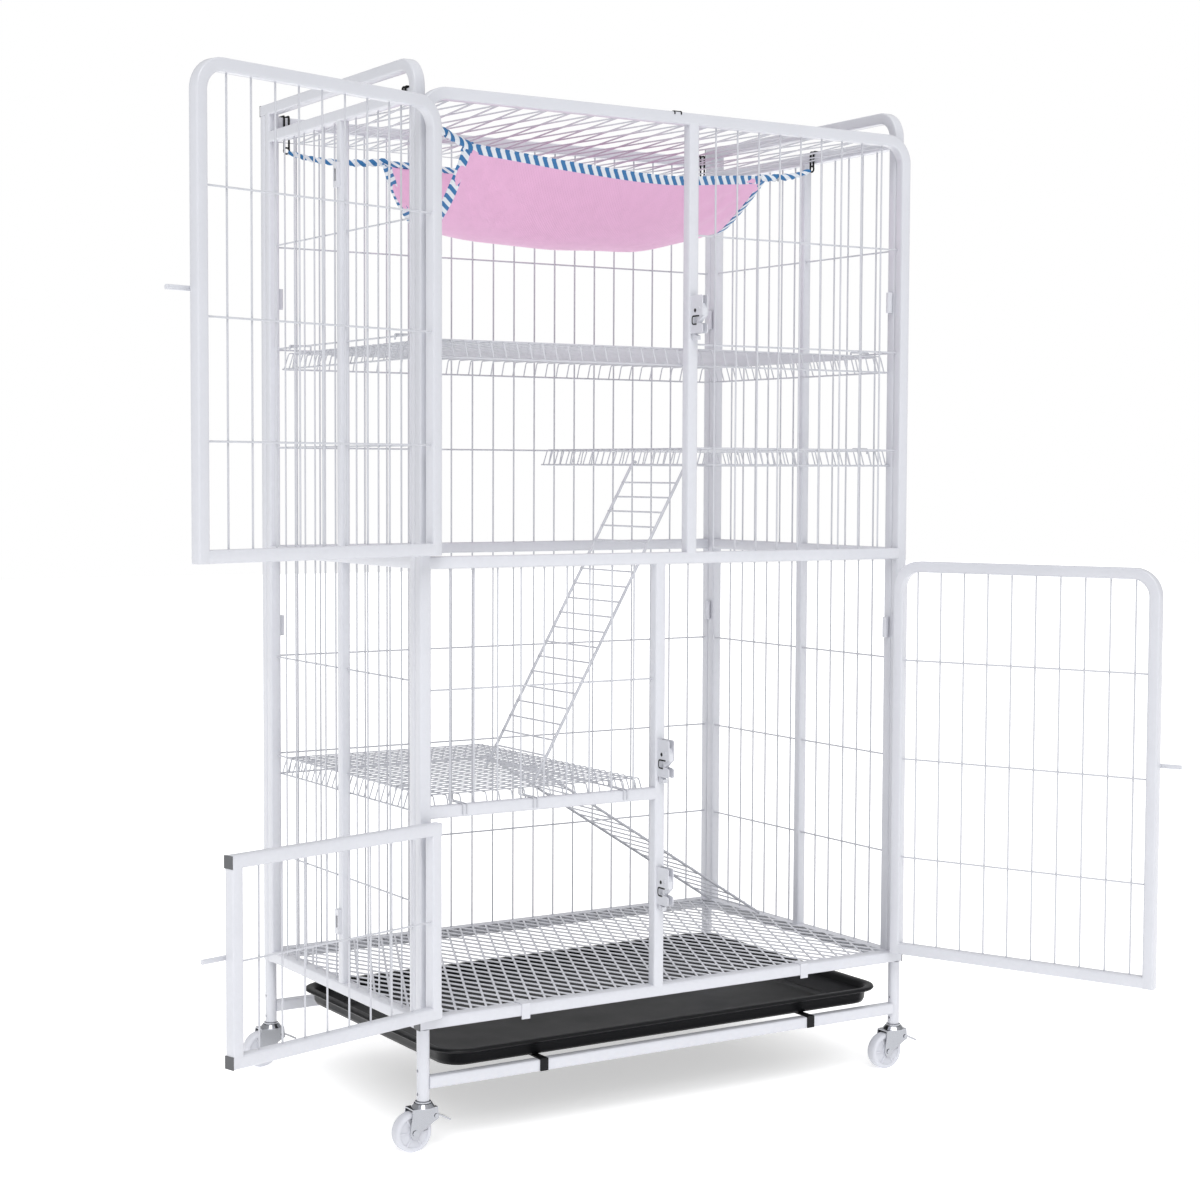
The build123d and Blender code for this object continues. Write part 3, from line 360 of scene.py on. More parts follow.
def finish(name):
    """The named finish, made the first time that a piece asks for it."""
    ready = bpy.data.materials.get(name)
    if ready:
        return ready
    look = bpy.context.scene.cage_finishes
    if name == "powder_coat":
        return coated(name, look.paint, 0.24, Coat_Weight=0.25, Coat_Roughness=0.2)
    # Painted shade: darker than the tube paint, for the shade on the thin wires.
    if name == "wire_coat_painted_shade":
        return coated(name, look.wire, 0.28, strength=0.15)
    if name == "black_moulding":
        return coated(name, look.tray, 0.26, peel=500.0, strength=0.35, Specular_IOR_Level=0.16)
    if name == "grey_plug":
        return coated(name, look.plug, 0.4, peel=1200.0)
    if name == "zinc_plate":
        return coated(name, look.zinc, 0.12, peel=350.0, strength=0.2, Metallic=1.0)
    if name == "moulded_nylon":
        return coated(name, look.nylon, 0.35, peel=600.0, strength=0.1)
    if name == "hammock_cloth":
        return woven(name, look.cloth)
    if name == "striped_binding":
        return striped(name, look.blue, look.white, bpy.context.scene.cloth_sizes.stripe)
    if name == "studio_floor":
        material, tree, shader = blank(name, Roughness=0.9, Emission_Color=(1, 1, 1, 1),
                                       Emission_Strength=0.5)
        cloud = node(tree, "ShaderNodeTexNoise", [("Scale", 3.0)])
        tree.links.new(mix_colour(tree, cloud.outputs[0], rgba(look.floor), rgba(look.floor, 0.995)),
                       shader.inputs["Base Color"])
        return material
    raise ValueError("no finish called " + name)


# Drawing tubes and wires ----------------------------------------------------------------------

def round_section(radius, sides=8):
    return [(radius * math.cos(2 * math.pi * i / sides), radius * math.sin(2 * math.pi * i / sides))
            for i in range(sides)]


def square_section(side, edge, steps=3):
    """A square outline with rounded corners."""
    flat = side / 2 - edge
    outline = []
    for corner, (sx, sy) in enumerate(((1, 1), (-1, 1), (-1, -1), (1, -1))):
        for i in range(steps + 1):
            angle = math.pi / 2 * (corner + i / steps)
            outline.append((sx * flat + edge * math.cos(angle), sy * flat + edge * math.sin(angle)))
    return outline


def bent(points, radius, steps=6):
    """The same run of points with its inner corners bent to the radius."""
    path = [points[0]]
    for before, corner, after in zip(points, points[1:], points[2:]):
        into, out = (before - corner).normalized(), (after - corner).normalized()
        turn = math.pi - into.angle(out)
        centre = corner + (into + out).normalized() * (radius / math.cos(turn / 2))
        spoke = corner + into * (radius * math.tan(turn / 2)) - centre
        axis = spoke.cross(corner + out * (radius * math.tan(turn / 2)) - centre).normalized()
        for i in range(steps + 1):
            path.append(centre + Quaternion(axis, turn * i / steps) @ spoke)
    return path + [points[-1]]


def sweep(bm, path, section, normal, closed=False):
    """Carry the section along a flat path; normal stands square to the path's plane."""
    rings = []
    count = len(path)
    for i, point in enumerate(path):
        before = path[i - 1] if i or closed else None
        after = path[(i + 1) % count] if i < count - 1 or closed else None
        into = (point - before).normalized() if before is not None else (after - point).normalized()
        out = (after - point).normalized() if after is not None else into
        tangent = (into + out).normalized()
        side = normal.cross(tangent).normalized() / max(0.3, tangent.dot(into))
        rings.append([bm.verts.new(point + side * a + normal * b) for a, b in section])
    skin(bm, rings + rings[:1] if closed else rings, caps=not closed)


def skin(bm, rings, caps=True):
    """Faces between each ring of points and the next, and one over each end."""
    for first, second in zip(rings, rings[1:]):
        for i in range(len(first)):
            j = (i + 1) % len(first)
            bm.faces.new((first[i], first[j], second[j], second[i]))
    if caps:
        bm.faces.new(rings[0][::-1])
        bm.faces.new(rings[-1])


def across(direction):
    """An axis square to the direction, for sections that must stay level."""
    best = min(AXIS.values(), key=lambda axis: abs(axis.dot(direction)))
    return (best - direction * best.dot(direction)).normalized()


def rod(bm, start, end, radius, sides=8):
    sweep(bm, [start, end], round_section(radius, sides), across((end - start).normalized()))


def bar(bm, start, end, side=None, grow=True):
    """A square tube between two faces, let into the rounded edges at both ends."""
    s = sizes()
    side = side or s.tube
    along = (end - start).normalized()
    reach = along * (s.tube_edge if grow else 0)
    sweep(bm, [start - reach, end + reach], square_section(side, s.tube_edge), across(along))


def lathe(bm, centre, axis, profile, steps=40):
    """Turn a profile of (along, radius) round an axis and close it where the radius is nothing."""
    u = across(axis)
    v = axis.cross(u)
    rings = []
    for along, radius in profile:
        if radius < 1e-6:
            rings.append([bm.verts.new(centre + axis * along)])
        else:
            rings.append([bm.verts.new(centre + axis * along + (u * math.cos(t) + v * math.sin(t)) * radius)
                          for t in (2 * math.pi * i / steps for i in range(steps))])
    for first, second in zip(rings, rings[1:]):
        for i in range(steps):
            j = (i + 1) % steps
            ring = [first[i % len(first)], first[j % len(first)], second[j % len(second)],
                    second[i % len(second)]]
            ring = [v for k, v in enumerate(ring) if v not in ring[:k]]
            if len(ring) > 2:
                bm.faces.new(ring)


def put(name, bm):
    """Turn drawn geometry into an object in the scene."""
    mesh = bpy.data.meshes.new(name)
    bm.to_mesh(mesh)
    bm.free()
    made = bpy.data.objects.new(name, mesh)
    bpy.context.scene.collection.objects.link(made)
    return made


def bake(made):
    """Swap the mesh for the one that its modifiers give."""
    bpy.context.view_layer.update()
    seen = made.evaluated_get(bpy.context.evaluated_depsgraph_get())
    mesh = bpy.data.meshes.new_from_object(seen)
    made.modifiers.clear()
    made.data = mesh
    return mesh


def piece(name, bm, look, body, stands_for=(), sharp=38, turn=None):
    """Finish a mesh: place it on the cage, smooth it, and let it ride on its body."""
    if turn:
        bm.transform(turn)
    bm.transform(Matrix.Translation(CORNER))
    bmesh.ops.recalc_face_normals(bm, faces=bm.faces)
    made = put(name, bm)
    made.data.shade_smooth()
    made.data.set_sharp_from_angle(angle=math.radians(sharp))
    made.data.materials.append(finish(look))
    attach(made, body)
    if stands_for:
        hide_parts(*stands_for)
    return made


def dress(look, *names):
    """Give a finish to CAD pieces that stay as they are."""
    for name in names:
        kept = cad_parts[name]
        if not kept.material_slots:
            kept.data.materials.append(finish(look))
        for place in kept.material_slots:
            place.material = finish(look)


def spaced(low, high, pitch, count):
    first = (low + high) / 2 - pitch * (count - 1) / 2
    return [first + pitch * i for i in range(count)]


def at(x, y, z):
    return Vector((x, y, z))


def front_wires(bm, xs, zs, x0, x1, z0, z1, y):
    """Upright wires in a plane of the front, with level wires welded behind them."""
    s = sizes()
    radius = s.wire / 2
    sink = s.tube_edge / 2
    for x in xs:
        rod(bm, at(x, y + radius, z0 - sink), at(x, y + radius, z1 + sink), radius)
    for z in zs:
        rod(bm, at(x0 - sink, y + 2.85 * radius, z), at(x1 + sink, y + 2.85 * radius, z), radius)


def levels():
    """Heights that several pieces share."""
    s = sizes()
    upper = s.middle + s.tube
    deck = s.floor + s.tube
    return {"deck": deck, "upper": upper, "rail": s.front_top + s.tube + s.rail_lift,
            "upper_rungs": [upper + v for v in (0.135, 0.270, 0.411)],
            "lower_rungs": [deck + v for v in (0.138, 0.275, 0.412)],
            "small_bar": deck + s.small_door, "upper_bar": s.tube + s.upper_door,
            "lower_bar": s.tube + s.lower_bay,
            "upper_latch": upper + 0.300, "small_latch": deck + 0.125, "lower_latch": deck + 0.292,
            "upper_shelf": upper + 0.266, "side_shelf": upper + 0.137, "low_shelf": deck + 0.272}


class CAGE_OT_front(bpy.types.Operator):
    """Bend the arched front tube, weld its bars and its two fields of wires"""
    bl_idname = "cage.front"
    bl_label = "Front panel"

    def execute(self, context):
        s, h, w = sizes(), levels(), context.scene.panel_wires
        mid = s.tube / 2
        bm = bmesh.new()
        top = s.front_top + mid
        arch = bent([at(mid, mid, h["deck"]), at(mid, mid, top), at(s.width - mid, mid, top),
                     at(s.width - mid, mid, h["deck"])], s.bend, 10)
        sweep(bm, arch, square_section(s.tube, s.tube_edge), AXIS["Y"])
        bar(bm, at(0, mid, s.floor + mid), at(s.width, mid, s.floor + mid), grow=False)
        bar(bm, at(s.tube, mid, s.middle + mid), at(s.width - s.tube, mid, s.middle + mid))
        bar(bm, at(h["upper_bar"] + mid, mid, h["upper"]), at(h["upper_bar"] + mid, mid, s.front_top))
        bar(bm, at(h["lower_bar"] + mid, mid, h["deck"]), at(h["lower_bar"] + mid, mid, s.middle))
        bar(bm, at(s.tube, mid, h["small_bar"] + mid), at(h["lower_bar"], mid, h["small_bar"] + mid))
        piece("front_tubes", bm, "powder_coat", "cage", ["front_frame"])
        plane = mid - s.wire / 2
        bm = bmesh.new()
        left = h["upper_bar"] + s.tube
        right = s.width - s.tube
        front_wires(bm, spaced(left, right, w.front_pitch, w.front_count), h["upper_rungs"], left,
                    right, h["upper"], s.front_top, plane)
        piece("front_wires_upper", bm, "wire_coat_painted_shade", "cage", ["front_mesh_upper"])
        bm = bmesh.new()
        low = h["small_bar"] + s.tube
        front_wires(bm, spaced(s.tube, h["lower_bar"], w.grille_pitch, w.grille_count),
                    [low + 0.142], s.tube, h["lower_bar"], low, s.middle, plane)
        piece("front_wires_lower", bm, "wire_coat_painted_shade", "cage", ["front_mesh_lower"])
        return {"FINISHED"}


class CAGE_OT_back(bpy.types.Operator):
    """Build the back panel's frame and wires"""
    bl_idname = "cage.back"
    bl_label = "Back panel"

    def execute(self, context):
        s, h, w = sizes(), levels(), context.scene.panel_wires
        mid = s.tube / 2
        y = s.depth - mid
        bm = bmesh.new()
        for x in (mid, s.width - mid):
            bar(bm, at(x, y, s.floor), at(x, y, h["rail"]), grow=False)
        for z in (s.floor, s.middle, h["rail"] - s.tube):
            bar(bm, at(s.tube, y, z + mid), at(s.width - s.tube, y, z + mid))
        piece("back_tubes", bm, "powder_coat", "cage", ["back_panel"])
        bm = bmesh.new()
        xs = spaced(s.tube, s.width - s.tube, w.back_pitch, w.back_count)
        plane = y - 1.5 * s.wire
        front_wires(bm, xs, h["upper_rungs"], s.tube, s.width - s.tube, h["upper"],
                    h["rail"] - s.tube, plane)
        front_wires(bm, xs, h["lower_rungs"], s.tube, s.width - s.tube, h["deck"], s.middle, plane)
        piece("back_wires", bm, "wire_coat_painted_shade", "cage", ["back_panel"])
        return {"FINISHED"}


class CAGE_OT_sides(bpy.types.Operator):
    """Build both side panels with their raised rails, posts and wires"""
    bl_idname = "cage.sides"
    bl_label = "Side panels"

    def execute(self, context):
        for name, x, inward in (("left", sizes().tube / 2, 1), ("right", sizes().width - sizes().tube / 2, -1)):
            self.side(context.scene.panel_wires, name, x, inward)
        return {"FINISHED"}

    def side(self, w, name, x, inward):
        s, h = sizes(), levels()
        mid = s.tube / 2
        front, back = s.tube, s.depth - s.tube
        bm = bmesh.new()
        rail = bent([at(x, front + mid, s.floor), at(x, front + mid, h["rail"] + mid),
                     at(x, s.depth, h["rail"] + mid)], s.bend, 10)
        sweep(bm, rail, square_section(s.tube, s.tube_edge), AXIS["X"])
        bar(bm, at(x, back - mid, s.floor), at(x, back - mid, h["rail"] + s.tube_edge), grow=False)
        for z in (s.floor, s.middle, s.front_top):
            bar(bm, at(x, front + s.tube, z + mid), at(x, back - s.tube, z + mid))
        post = s.post_y + s.post / 2
        bar(bm, at(x, post, h["deck"]), at(x, post, s.middle), s.post)
        bar(bm, at(x, post, h["upper"]), at(x, post, s.front_top), s.post)
        piece(name + "_tubes", bm, "powder_coat", "cage", [name + "_panel"])
        bm = bmesh.new()
        radius = s.wire / 2
        sink = s.tube_edge / 2
        for y in spaced(front + s.tube, back - s.tube, w.side_pitch, w.side_count):
            if s.post_y - s.wire < y < s.post_y + s.post + s.wire:
                continue
            rod(bm, at(x, y, h["deck"] - sink), at(x, y, s.middle + sink), radius)
            rod(bm, at(x, y, h["upper"] - sink), at(x, y, s.front_top + sink), radius)
        inner = x + inward * 0.95 * s.wire
        for z in h["lower_rungs"] + h["upper_rungs"]:
            rod(bm, at(inner, front + s.tube - sink, z), at(inner, back - s.tube + sink, z), radius)
        piece(name + "_wires", bm, "wire_coat_painted_shade", "cage", [name + "_panel"])


class CAGE_OT_doors(bpy.types.Operator):
    """Build the three doors closed, and swing them open on their hinges"""
    bl_idname = "cage.doors"
    bl_label = "Doors"

    def execute(self, context):
        s, h, d = sizes(), levels(), context.scene.door_sizes
        left = s.tube + d.hinge_gap
        right = s.width - s.tube - d.hinge_gap
        hinge_left = s.tube + d.hinge_gap / 2
        hinge_right = s.width - s.tube - d.hinge_gap / 2
        lower_left = h["lower_bar"] + s.tube + d.gap
        upper_edge, small_edge = h["upper_bar"] - d.gap, h["lower_bar"] - d.gap
        self.door("upper_door", left, upper_edge, h["upper"] + d.gap, s.front_top - d.gap,
                  h["upper_rungs"], d.wire_pitch, 9, hinge_left, -d.upper_open, True)
        self.door("small_door", left, small_edge, h["deck"] + d.gap, h["small_bar"] - d.gap,
                  [(h["deck"] + h["small_bar"]) / 2], d.small_pitch, 8, hinge_left, -d.small_open, False)
        self.door("lower_door", lower_left, right, h["deck"] + d.gap, s.middle - d.gap,
                  h["lower_rungs"], d.wire_pitch, 10, hinge_right, d.lower_open, True)
        self.striker("upper_door", upper_edge, 1, h["upper_latch"], hinge_left, -d.upper_open)
        self.striker("small_door", small_edge, 1, h["small_latch"], hinge_left, -d.small_open)
        self.striker("lower_door", lower_left, -1, h["lower_latch"], hinge_right, d.lower_open)
        dress("powder_coat", "upper_door_leaves", "small_door_leaves", "lower_door_leaves",
              "hinge_post_leaves")
        dress("grey_plug", "small_door_plugs", "frame_plugs")
        return {"FINISHED"}

    def opened(self, axis_x, angle):
        axis = at(axis_x, -0.0025, 0)
        return Matrix.Translation(axis) @ Matrix.Rotation(angle, 4, "Z") @ Matrix.Translation(-axis)

    def door(self, name, x0, x1, z0, z1, rungs, pitch, count, axis_x, angle, arched):
        s, d = sizes(), bpy.context.scene.door_sizes
        mid = s.tube / 2
        turn = self.opened(axis_x, angle)
        bm = bmesh.new()
        if arched:
            arch = bent([at(x0 + mid, mid, z0), at(x0 + mid, mid, z1 - mid),
                         at(x1 - mid, mid, z1 - mid), at(x1 - mid, mid, z0)], d.corner, 10)
            sweep(bm, arch, square_section(s.tube, s.tube_edge), AXIS["Y"])
            bar(bm, at(x0 + s.tube, mid, z0 + mid), at(x1 - s.tube, mid, z0 + mid))
        else:
            for z in (z0 + mid, z1 - mid):
                bar(bm, at(x0, mid, z), at(x1 - 0.00075, mid, z), grow=False)
            for x in (x0 + mid, x1 - mid - 0.00075):
                bar(bm, at(x, mid, z0 + s.tube), at(x, mid, z1 - s.tube))
        piece(name + "_tubes", bm, "powder_coat", name, [name], turn=turn)
        bm = bmesh.new()
        front_wires(bm, spaced(x0 + s.tube, x1 - s.tube, pitch, count), rungs, x0 + s.tube,
                    x1 - s.tube, z0 + s.tube, z1 - s.tube, mid - s.wire / 2)
        piece(name + "_wires", bm, "wire_coat_painted_shade", name, [name], turn=turn)

    def striker(self, name, edge, side, z, axis_x, angle):
        """The latch rod: bent from the stile forwards, then out past the door's free edge."""
        bm = bmesh.new()
        back = edge - side * 0.0105
        run = bent([at(back, 0.001, z), at(back, -0.008, z), at(edge + side * 0.025, -0.008, z)],
                   0.0045, 6)
        sweep(bm, run, round_section(0.003, 14), AXIS["Z"])
        weld = Vector((back, -0.0003, z))
        lathe(bm, weld, AXIS["Y"], [(-0.0016, 0.0031), (-0.0006, 0.0042), (0.0006, 0.0048)], 18)
        piece(name + "_rod", bm, "powder_coat", name, [name + "_striker"],
              turn=self.opened(axis_x, angle))


class CAGE_OT_base(bpy.types.Operator):
    """Build the legs with their adjusting holes, the low rails and the tray"""
    bl_idname = "cage.base"
    bl_label = "Legs, rails and tray"

    def execute(self, context):
        s = sizes()
        mid = s.tube / 2
        bm = bmesh.new()
        for x in (mid, s.width - mid):
            for y in (mid, s.depth - mid):
                lathe(bm, at(x, y, 0), AXIS["Z"], [(s.leg_bottom, 0), (s.leg_bottom, s.leg - 0.001),
                      (s.leg_bottom + 0.001, s.leg), (s.floor, s.leg), (s.floor, 0)], 36)
        legs = piece("legs", bm, "powder_coat", "cage", ["corner_legs"])
        self.drill(legs)
        bm = bmesh.new()
        for y in (mid, s.depth - mid):
            reach = 0.006
            bar(bm, at(mid + reach, y, s.low_rail + mid), at(s.width - mid - reach, y, s.low_rail + mid),
                grow=False)
        piece("low_rail_tubes", bm, "powder_coat", "cage", ["low_rails"])
        self.tray()
        dress("black_moulding", "tray_straps")
        return {"FINISHED"}

    def drill(self, legs):
        """Two small holes through each leg, one over and one under the low rail."""
        s = sizes()
        bm = bmesh.new()
        for x in (s.tube / 2, s.width - s.tube / 2):
            for y in (s.tube / 2, s.depth - s.tube / 2):
                for z in (s.low_rail - 0.006, s.low_rail + s.tube + 0.008):
                    lathe(bm, at(x, y, z), AXIS["X"], [(-0.012, 0), (-0.012, 0.0021),
                                                       (0.012, 0.0021), (0.012, 0)], 14)
        bm.transform(Matrix.Translation(CORNER))
        bmesh.ops.recalc_face_normals(bm, faces=bm.faces)
        drill = put("drill", bm)
        cut = legs.modifiers.new("holes", "BOOLEAN")
        cut.object = drill
        cut.operation = "DIFFERENCE"
        bake(legs).set_sharp_from_angle(angle=math.radians(38))
        bpy.data.objects.remove(drill)

    def tray(self):
        """A pressed pan: rolled rim, sloping walls and a shallow ribbed floor."""
        low, high = cage_box("litter_tray")
        top = high.z
        profile = [(0.0035, top - 0.0052), (0.0012, top - 0.0044), (0.0, top - 0.0028),
                   (0.0009, top - 0.0008), (0.003, top), (0.009, top), (0.0125, top - 0.0012),
                   (0.0145, top - 0.004), (0.0155, low.z + 0.008), (0.018, low.z + 0.0035),
                   (0.023, low.z + 0.0025), (0.040, low.z + 0.0025), (0.044, low.z + 0.0038),
                   (0.052, low.z + 0.0038), (0.056, low.z + 0.0025)]
        under = [(0.050, low.z), (0.022, low.z), (0.0155, low.z + 0.002), (0.013, low.z + 0.007),
                 (0.0122, top - 0.0062), (0.0105, top - 0.0048), (0.0055, top - 0.0048)]
        bm = bmesh.new()
        rings = [self.outline(bm, low, high, inset, z) for inset, z in profile]
        below = [self.outline(bm, low, high, inset, z) for inset, z in under]
        # Known fault: below + rings would close the pan. As it is, one strip crosses the underside.
        skin(bm, below[::-1] + rings, caps=False)
        bm.faces.new(rings[-1])
        bm.faces.new(below[0])
        piece("tray_pan", bm, "black_moulding", "tray", ["litter_tray"], sharp=60)

    def outline(self, bm, low, high, inset, z, corner=0.045, steps=12):
        radius = max(0.006, corner - inset)
        x0, x1 = low.x + inset + radius, high.x - inset - radius
        y0, y1 = low.y + inset + radius, high.y - inset - radius
        ring = []
        for turn, (x, y) in enumerate(((x1, y1), (x0, y1), (x0, y0), (x1, y0))):
            for i in range(steps + 1):
                angle = math.pi / 2 * (turn + i / steps)
                ring.append(bm.verts.new((x + radius * math.cos(angle), y + radius * math.sin(angle), z)))
        return ring


class CAGE_OT_nets(bpy.types.Operator):
    """Stretch the two nets: long diamonds in the roof and small ones in the floor"""
    bl_idname = "cage.nets"
    bl_label = "Nets"

    def execute(self, context):
        n = context.scene.net_sizes
        self.net("roof_net", "roof_strands", n.roof_x, n.roof_y, True)
        self.net("floor_net", "floor_strands", n.floor_x, n.floor_y, False)
        return {"FINISHED"}

    def net(self, replaced, name, cell_x, cell_y, lengthwise):
        n = bpy.context.scene.net_sizes
        low, high = cage_box(replaced)
        z = (low.z + high.z) / 2
        columns = round((high.x - low.x) / cell_x)
        rows = round((high.y - low.y) / (cell_y / 2))
        step_x = (high.x - low.x) / columns
        step_y = (high.y - low.y) / rows
        tilt = 0.0003
        half = (n.strand if lengthwise else n.floor_strand) / 2
        section = [(-half, -tilt - n.sheet / 2), (half, tilt - n.sheet / 2), (half, tilt + n.sheet / 2),
                   (-half, -tilt + n.sheet / 2)]
        bm = bmesh.new()
        if lengthwise:
            for i in range(2 * columns):
                x = low.x + step_x / 2 * i
                path = []
                for j in range(rows + 1):
                    out = (i + j) % 2
                    path.append(at(x + out * step_x / 2, low.y + step_y * j, z))
                sweep(bm, path, section, AXIS["Z"])
        else:
            for j in range(rows):
                y = low.y + step_y * j
                path = [at(low.x + step_x / 2 * i, y + step_y * ((i + j) % 2), z)
                        for i in range(2 * columns + 1)]
                sweep(bm, path, section, AXIS["Z"])
        inset = half
        x0, x1, y0, y1 = low.x + inset, high.x - inset, low.y + inset, high.y - inset
        rim = [at(x0, y0, z), at(x1, y0, z), at(x1, y1, z), at(x0, y1, z)]
        flat = [(-half, -n.sheet / 2), (half, -n.sheet / 2), (half, n.sheet / 2), (-half, n.sheet / 2)]
        sweep(bm, rim, flat, AXIS["Z"], closed=True)
        # Painted shade: the roof net, seen from below in shadow, takes the darker wire coat; the floor net
        # keeps the plain tube paint.
        look = "wire_coat_painted_shade" if lengthwise else "powder_coat"
        piece(name, bm, look, "cage", [replaced], sharp=30)


class CAGE_OT_shelves(bpy.types.Operator):
    """Weld the three wire shelves at their true wire spacing, with their hooks"""
    bl_idname = "cage.shelves"
    bl_label = "Shelves"

    def execute(self, context):
        s, h, f = sizes(), levels(), context.scene.shelf_sizes
        inner, outer = s.tube, s.width - s.tube
        y0, y1 = s.tube + s.wire, s.depth - s.tube - 0.005
        self.shelf("shelf_upper", inner + 0.005, outer - 0.005, y0, y1, h["upper_shelf"],
                   h["upper_rungs"][1], (1, -1))
        self.shelf("shelf_middle", outer - f.side_shelf, outer, y0, y1, h["side_shelf"],
                   h["upper_rungs"][0], (-1,))
        self.shelf("shelf_lower", inner, h["lower_bar"], y0, y1, h["low_shelf"], h["lower_rungs"][1],
                   (1,))
        return {"FINISHED"}

    def shelf(self, name, x0, x1, y0, y1, top, rung, sides):
        s, f = sizes(), bpy.context.scene.shelf_sizes
        radius = s.wire / 2
        section = round_section(radius)
        fine = round_section(f.shelf_wire / 2)
        low = top - f.drop
        bm = bmesh.new()
        count = int((y1 - y0 - 2 * f.flare - s.wire) / f.row_pitch) + 1
        for y in spaced(y0, y1, f.row_pitch, count):
            run = bent([at(x0 + radius, y, low), at(x0 + f.flare, y, top - radius),
                        at(x1 - f.flare, y, top - radius), at(x1 - radius, y, low)], f.bend, 4)
            sweep(bm, run, fine, AXIS["Y"])
        level = top - s.wire / 2 - 0.92 * f.shelf_wire
        count = int((x1 - x0 - 3 * f.flare) / f.cross_pitch) + 1
        for x in spaced(x0, x1, f.cross_pitch, count):
            run = bent([at(x, y0 + radius, low), at(x, y0 + f.flare, level),
                        at(x, y1 - f.flare, level), at(x, y1 - radius, low)], f.bend, 4)
            sweep(bm, run, fine, AXIS["X"])
        z = low - radius
        corner = 0.006
        rim = [at(x0 + radius, y0 + radius, z), at(x1 - radius, y0 + radius, z),
               at(x1 - radius, y1 - radius, z), at(x0 + radius, y1 - radius, z)]
        middle = [(rim[3] + rim[0]) / 2] + rim + [(rim[3] + rim[0]) / 2]
        run = bent(middle, corner, 5)
        sweep(bm, run[:-1], section, AXIS["Z"], closed=True)
        self.hooks(bm, x0, x1, top, rung, sides)
        if name == "shelf_lower":
            self.front_hooks(bm, y0, top)
        piece(name + "_wires", bm, "wire_coat_painted_shade", "cage", [name])

    def hooks(self, bm, x0, x1, top, rung, sides):
        """Bent wires from the shelf over the side panel's level wire."""
        s = sizes()
        w = bpy.context.scene.panel_wires
        places = spaced(s.tube * 2, s.depth - s.tube * 2, w.side_pitch, w.side_count)
        radius = 0.0013
        for side in sides:
            wire_x = (s.tube / 2 if side > 0 else s.width - s.tube / 2) + side * 0.95 * s.wire
            edge = (x0 if side > 0 else x1) + side * 0.018
            over = rung + s.wire / 2 + radius
            level = top - 1.2 * s.wire
            for y in (places[0] + w.side_pitch / 2, places[-1] - w.side_pitch / 2):
                out = wire_x - side * (s.wire / 2 + radius + 0.0003)
                run = bent([at(edge + side * 0.012, y, level), at(edge, y, level), at(edge, y, over),
                            at(out, y, over), at(out, y, over - 0.007)], 0.0012, 3)
                sweep(bm, run, round_section(radius), AXIS["Y"])

    def front_hooks(self, bm, y0, top):
        """Wires that hang the lower shelf's front over the small doorway's bar."""
        s, h = sizes(), levels()
        w = bpy.context.scene.panel_wires
        places = spaced(s.tube, h["lower_bar"], w.grille_pitch, w.grille_count)
        bar_top = h["small_bar"] + s.tube
        for cell in (0.5, 3.5, 7.5):
            x = places[0] + cell * w.grille_pitch
            for shift in (-0.0028, 0.0028):
                run = bent([at(x + shift, -0.0009, h["small_bar"] + 0.003),
                            at(x + shift, -0.0009, bar_top + 0.0009),
                            at(x + shift, y0 + 0.019, bar_top + 0.0009),
                            at(x + shift, y0 + 0.019, top - s.wire)], 0.0016, 4)
                sweep(bm, run, round_section(0.0009), AXIS["X"])


class CAGE_OT_ladders(bpy.types.Operator):
    """Bend the two ladders and hook them over the rims of their shelves"""
    bl_idname = "cage.ladders"
    bl_label = "Ladders"

    def execute(self, context):
        s, h, f = sizes(), levels(), context.scene.shelf_sizes
        side_top, low_top = h["side_shelf"], h["low_shelf"]
        half = s.wire / 2
        self.ladder("upper_ladder", s.width - s.tube - f.side_shelf + half, side_top - f.drop - half,
                    low_top, -1, 0.065, "upper_ladder")
        self.ladder("lower_ladder", h["lower_bar"] - half, low_top - f.drop - half, h["deck"], 1,
                    0.314, "cage")
        return {"FINISHED"}

    def ladder(self, name, x, z, foot, side, y, body):
        s, f = sizes(), bpy.context.scene.shelf_sizes
        inner = 0.0020
        height = z - foot - 0.0003
        angle = math.asin(height / math.hypot(f.ladder_length, inner)) + math.atan2(inner, f.ladder_length)
        along = at(side * math.cos(angle), 0, -math.sin(angle))
        up = at(side * math.sin(angle), 0, math.cos(angle))
        ring = inner + f.rail / 2
        axis = at(x, 0, z)
        bm = bmesh.new()
        for place in (y, y + f.ladder_width):
            hook = [axis + (up * math.sin(t) + along * math.cos(t)) * ring
                    for t in (math.pi * (1.05 - 1.0 * i / 9) for i in range(9))]
            straight = [axis + up * ring, axis + along * f.ladder_length + up * ring]
            run = [p + at(0, place, 0) for p in hook[:5] + straight]
            sweep(bm, run, round_section(f.rail / 2, 12), AXIS["Y"])
        count = int((f.ladder_length - 3 * f.rail) / f.rung_pitch)
        lift = ring + f.rail / 2
        for i in range(count):
            centre = axis + along * (f.ladder_length - f.rung_pitch * (i + 0.5)) + up * (lift - 0.0006)
            rod(bm, centre + at(0, y - 0.001, 0), centre + at(0, y + f.ladder_width + 0.001, 0), s.wire / 2)
        piece(name + "_wires", bm, "wire_coat_painted_shade", body, [name])


def smooth(a, b, c, d, t):
    """A point between b and c on a smooth run through all four."""
    return 0.5 * (2 * b + (c - a) * t + (2 * a - 5 * b + 4 * c - d) * t * t
                  + (3 * b - a - 3 * c + d) * t ** 3)


def with_ends(points):
    """The points with one more beyond each end, in line with the last two."""
    return [2 * points[0] - points[1]] + list(points) + [2 * points[-1] - points[-2]]


def curve_through(points, count):
    """Points along a smooth run through the ones given."""
    ends = with_ends(points)
    return [smooth(*ends[i - 1:i + 3], k / count)
            for i in range(1, len(ends) - 2) for k in range(count)] + [points[-1]]


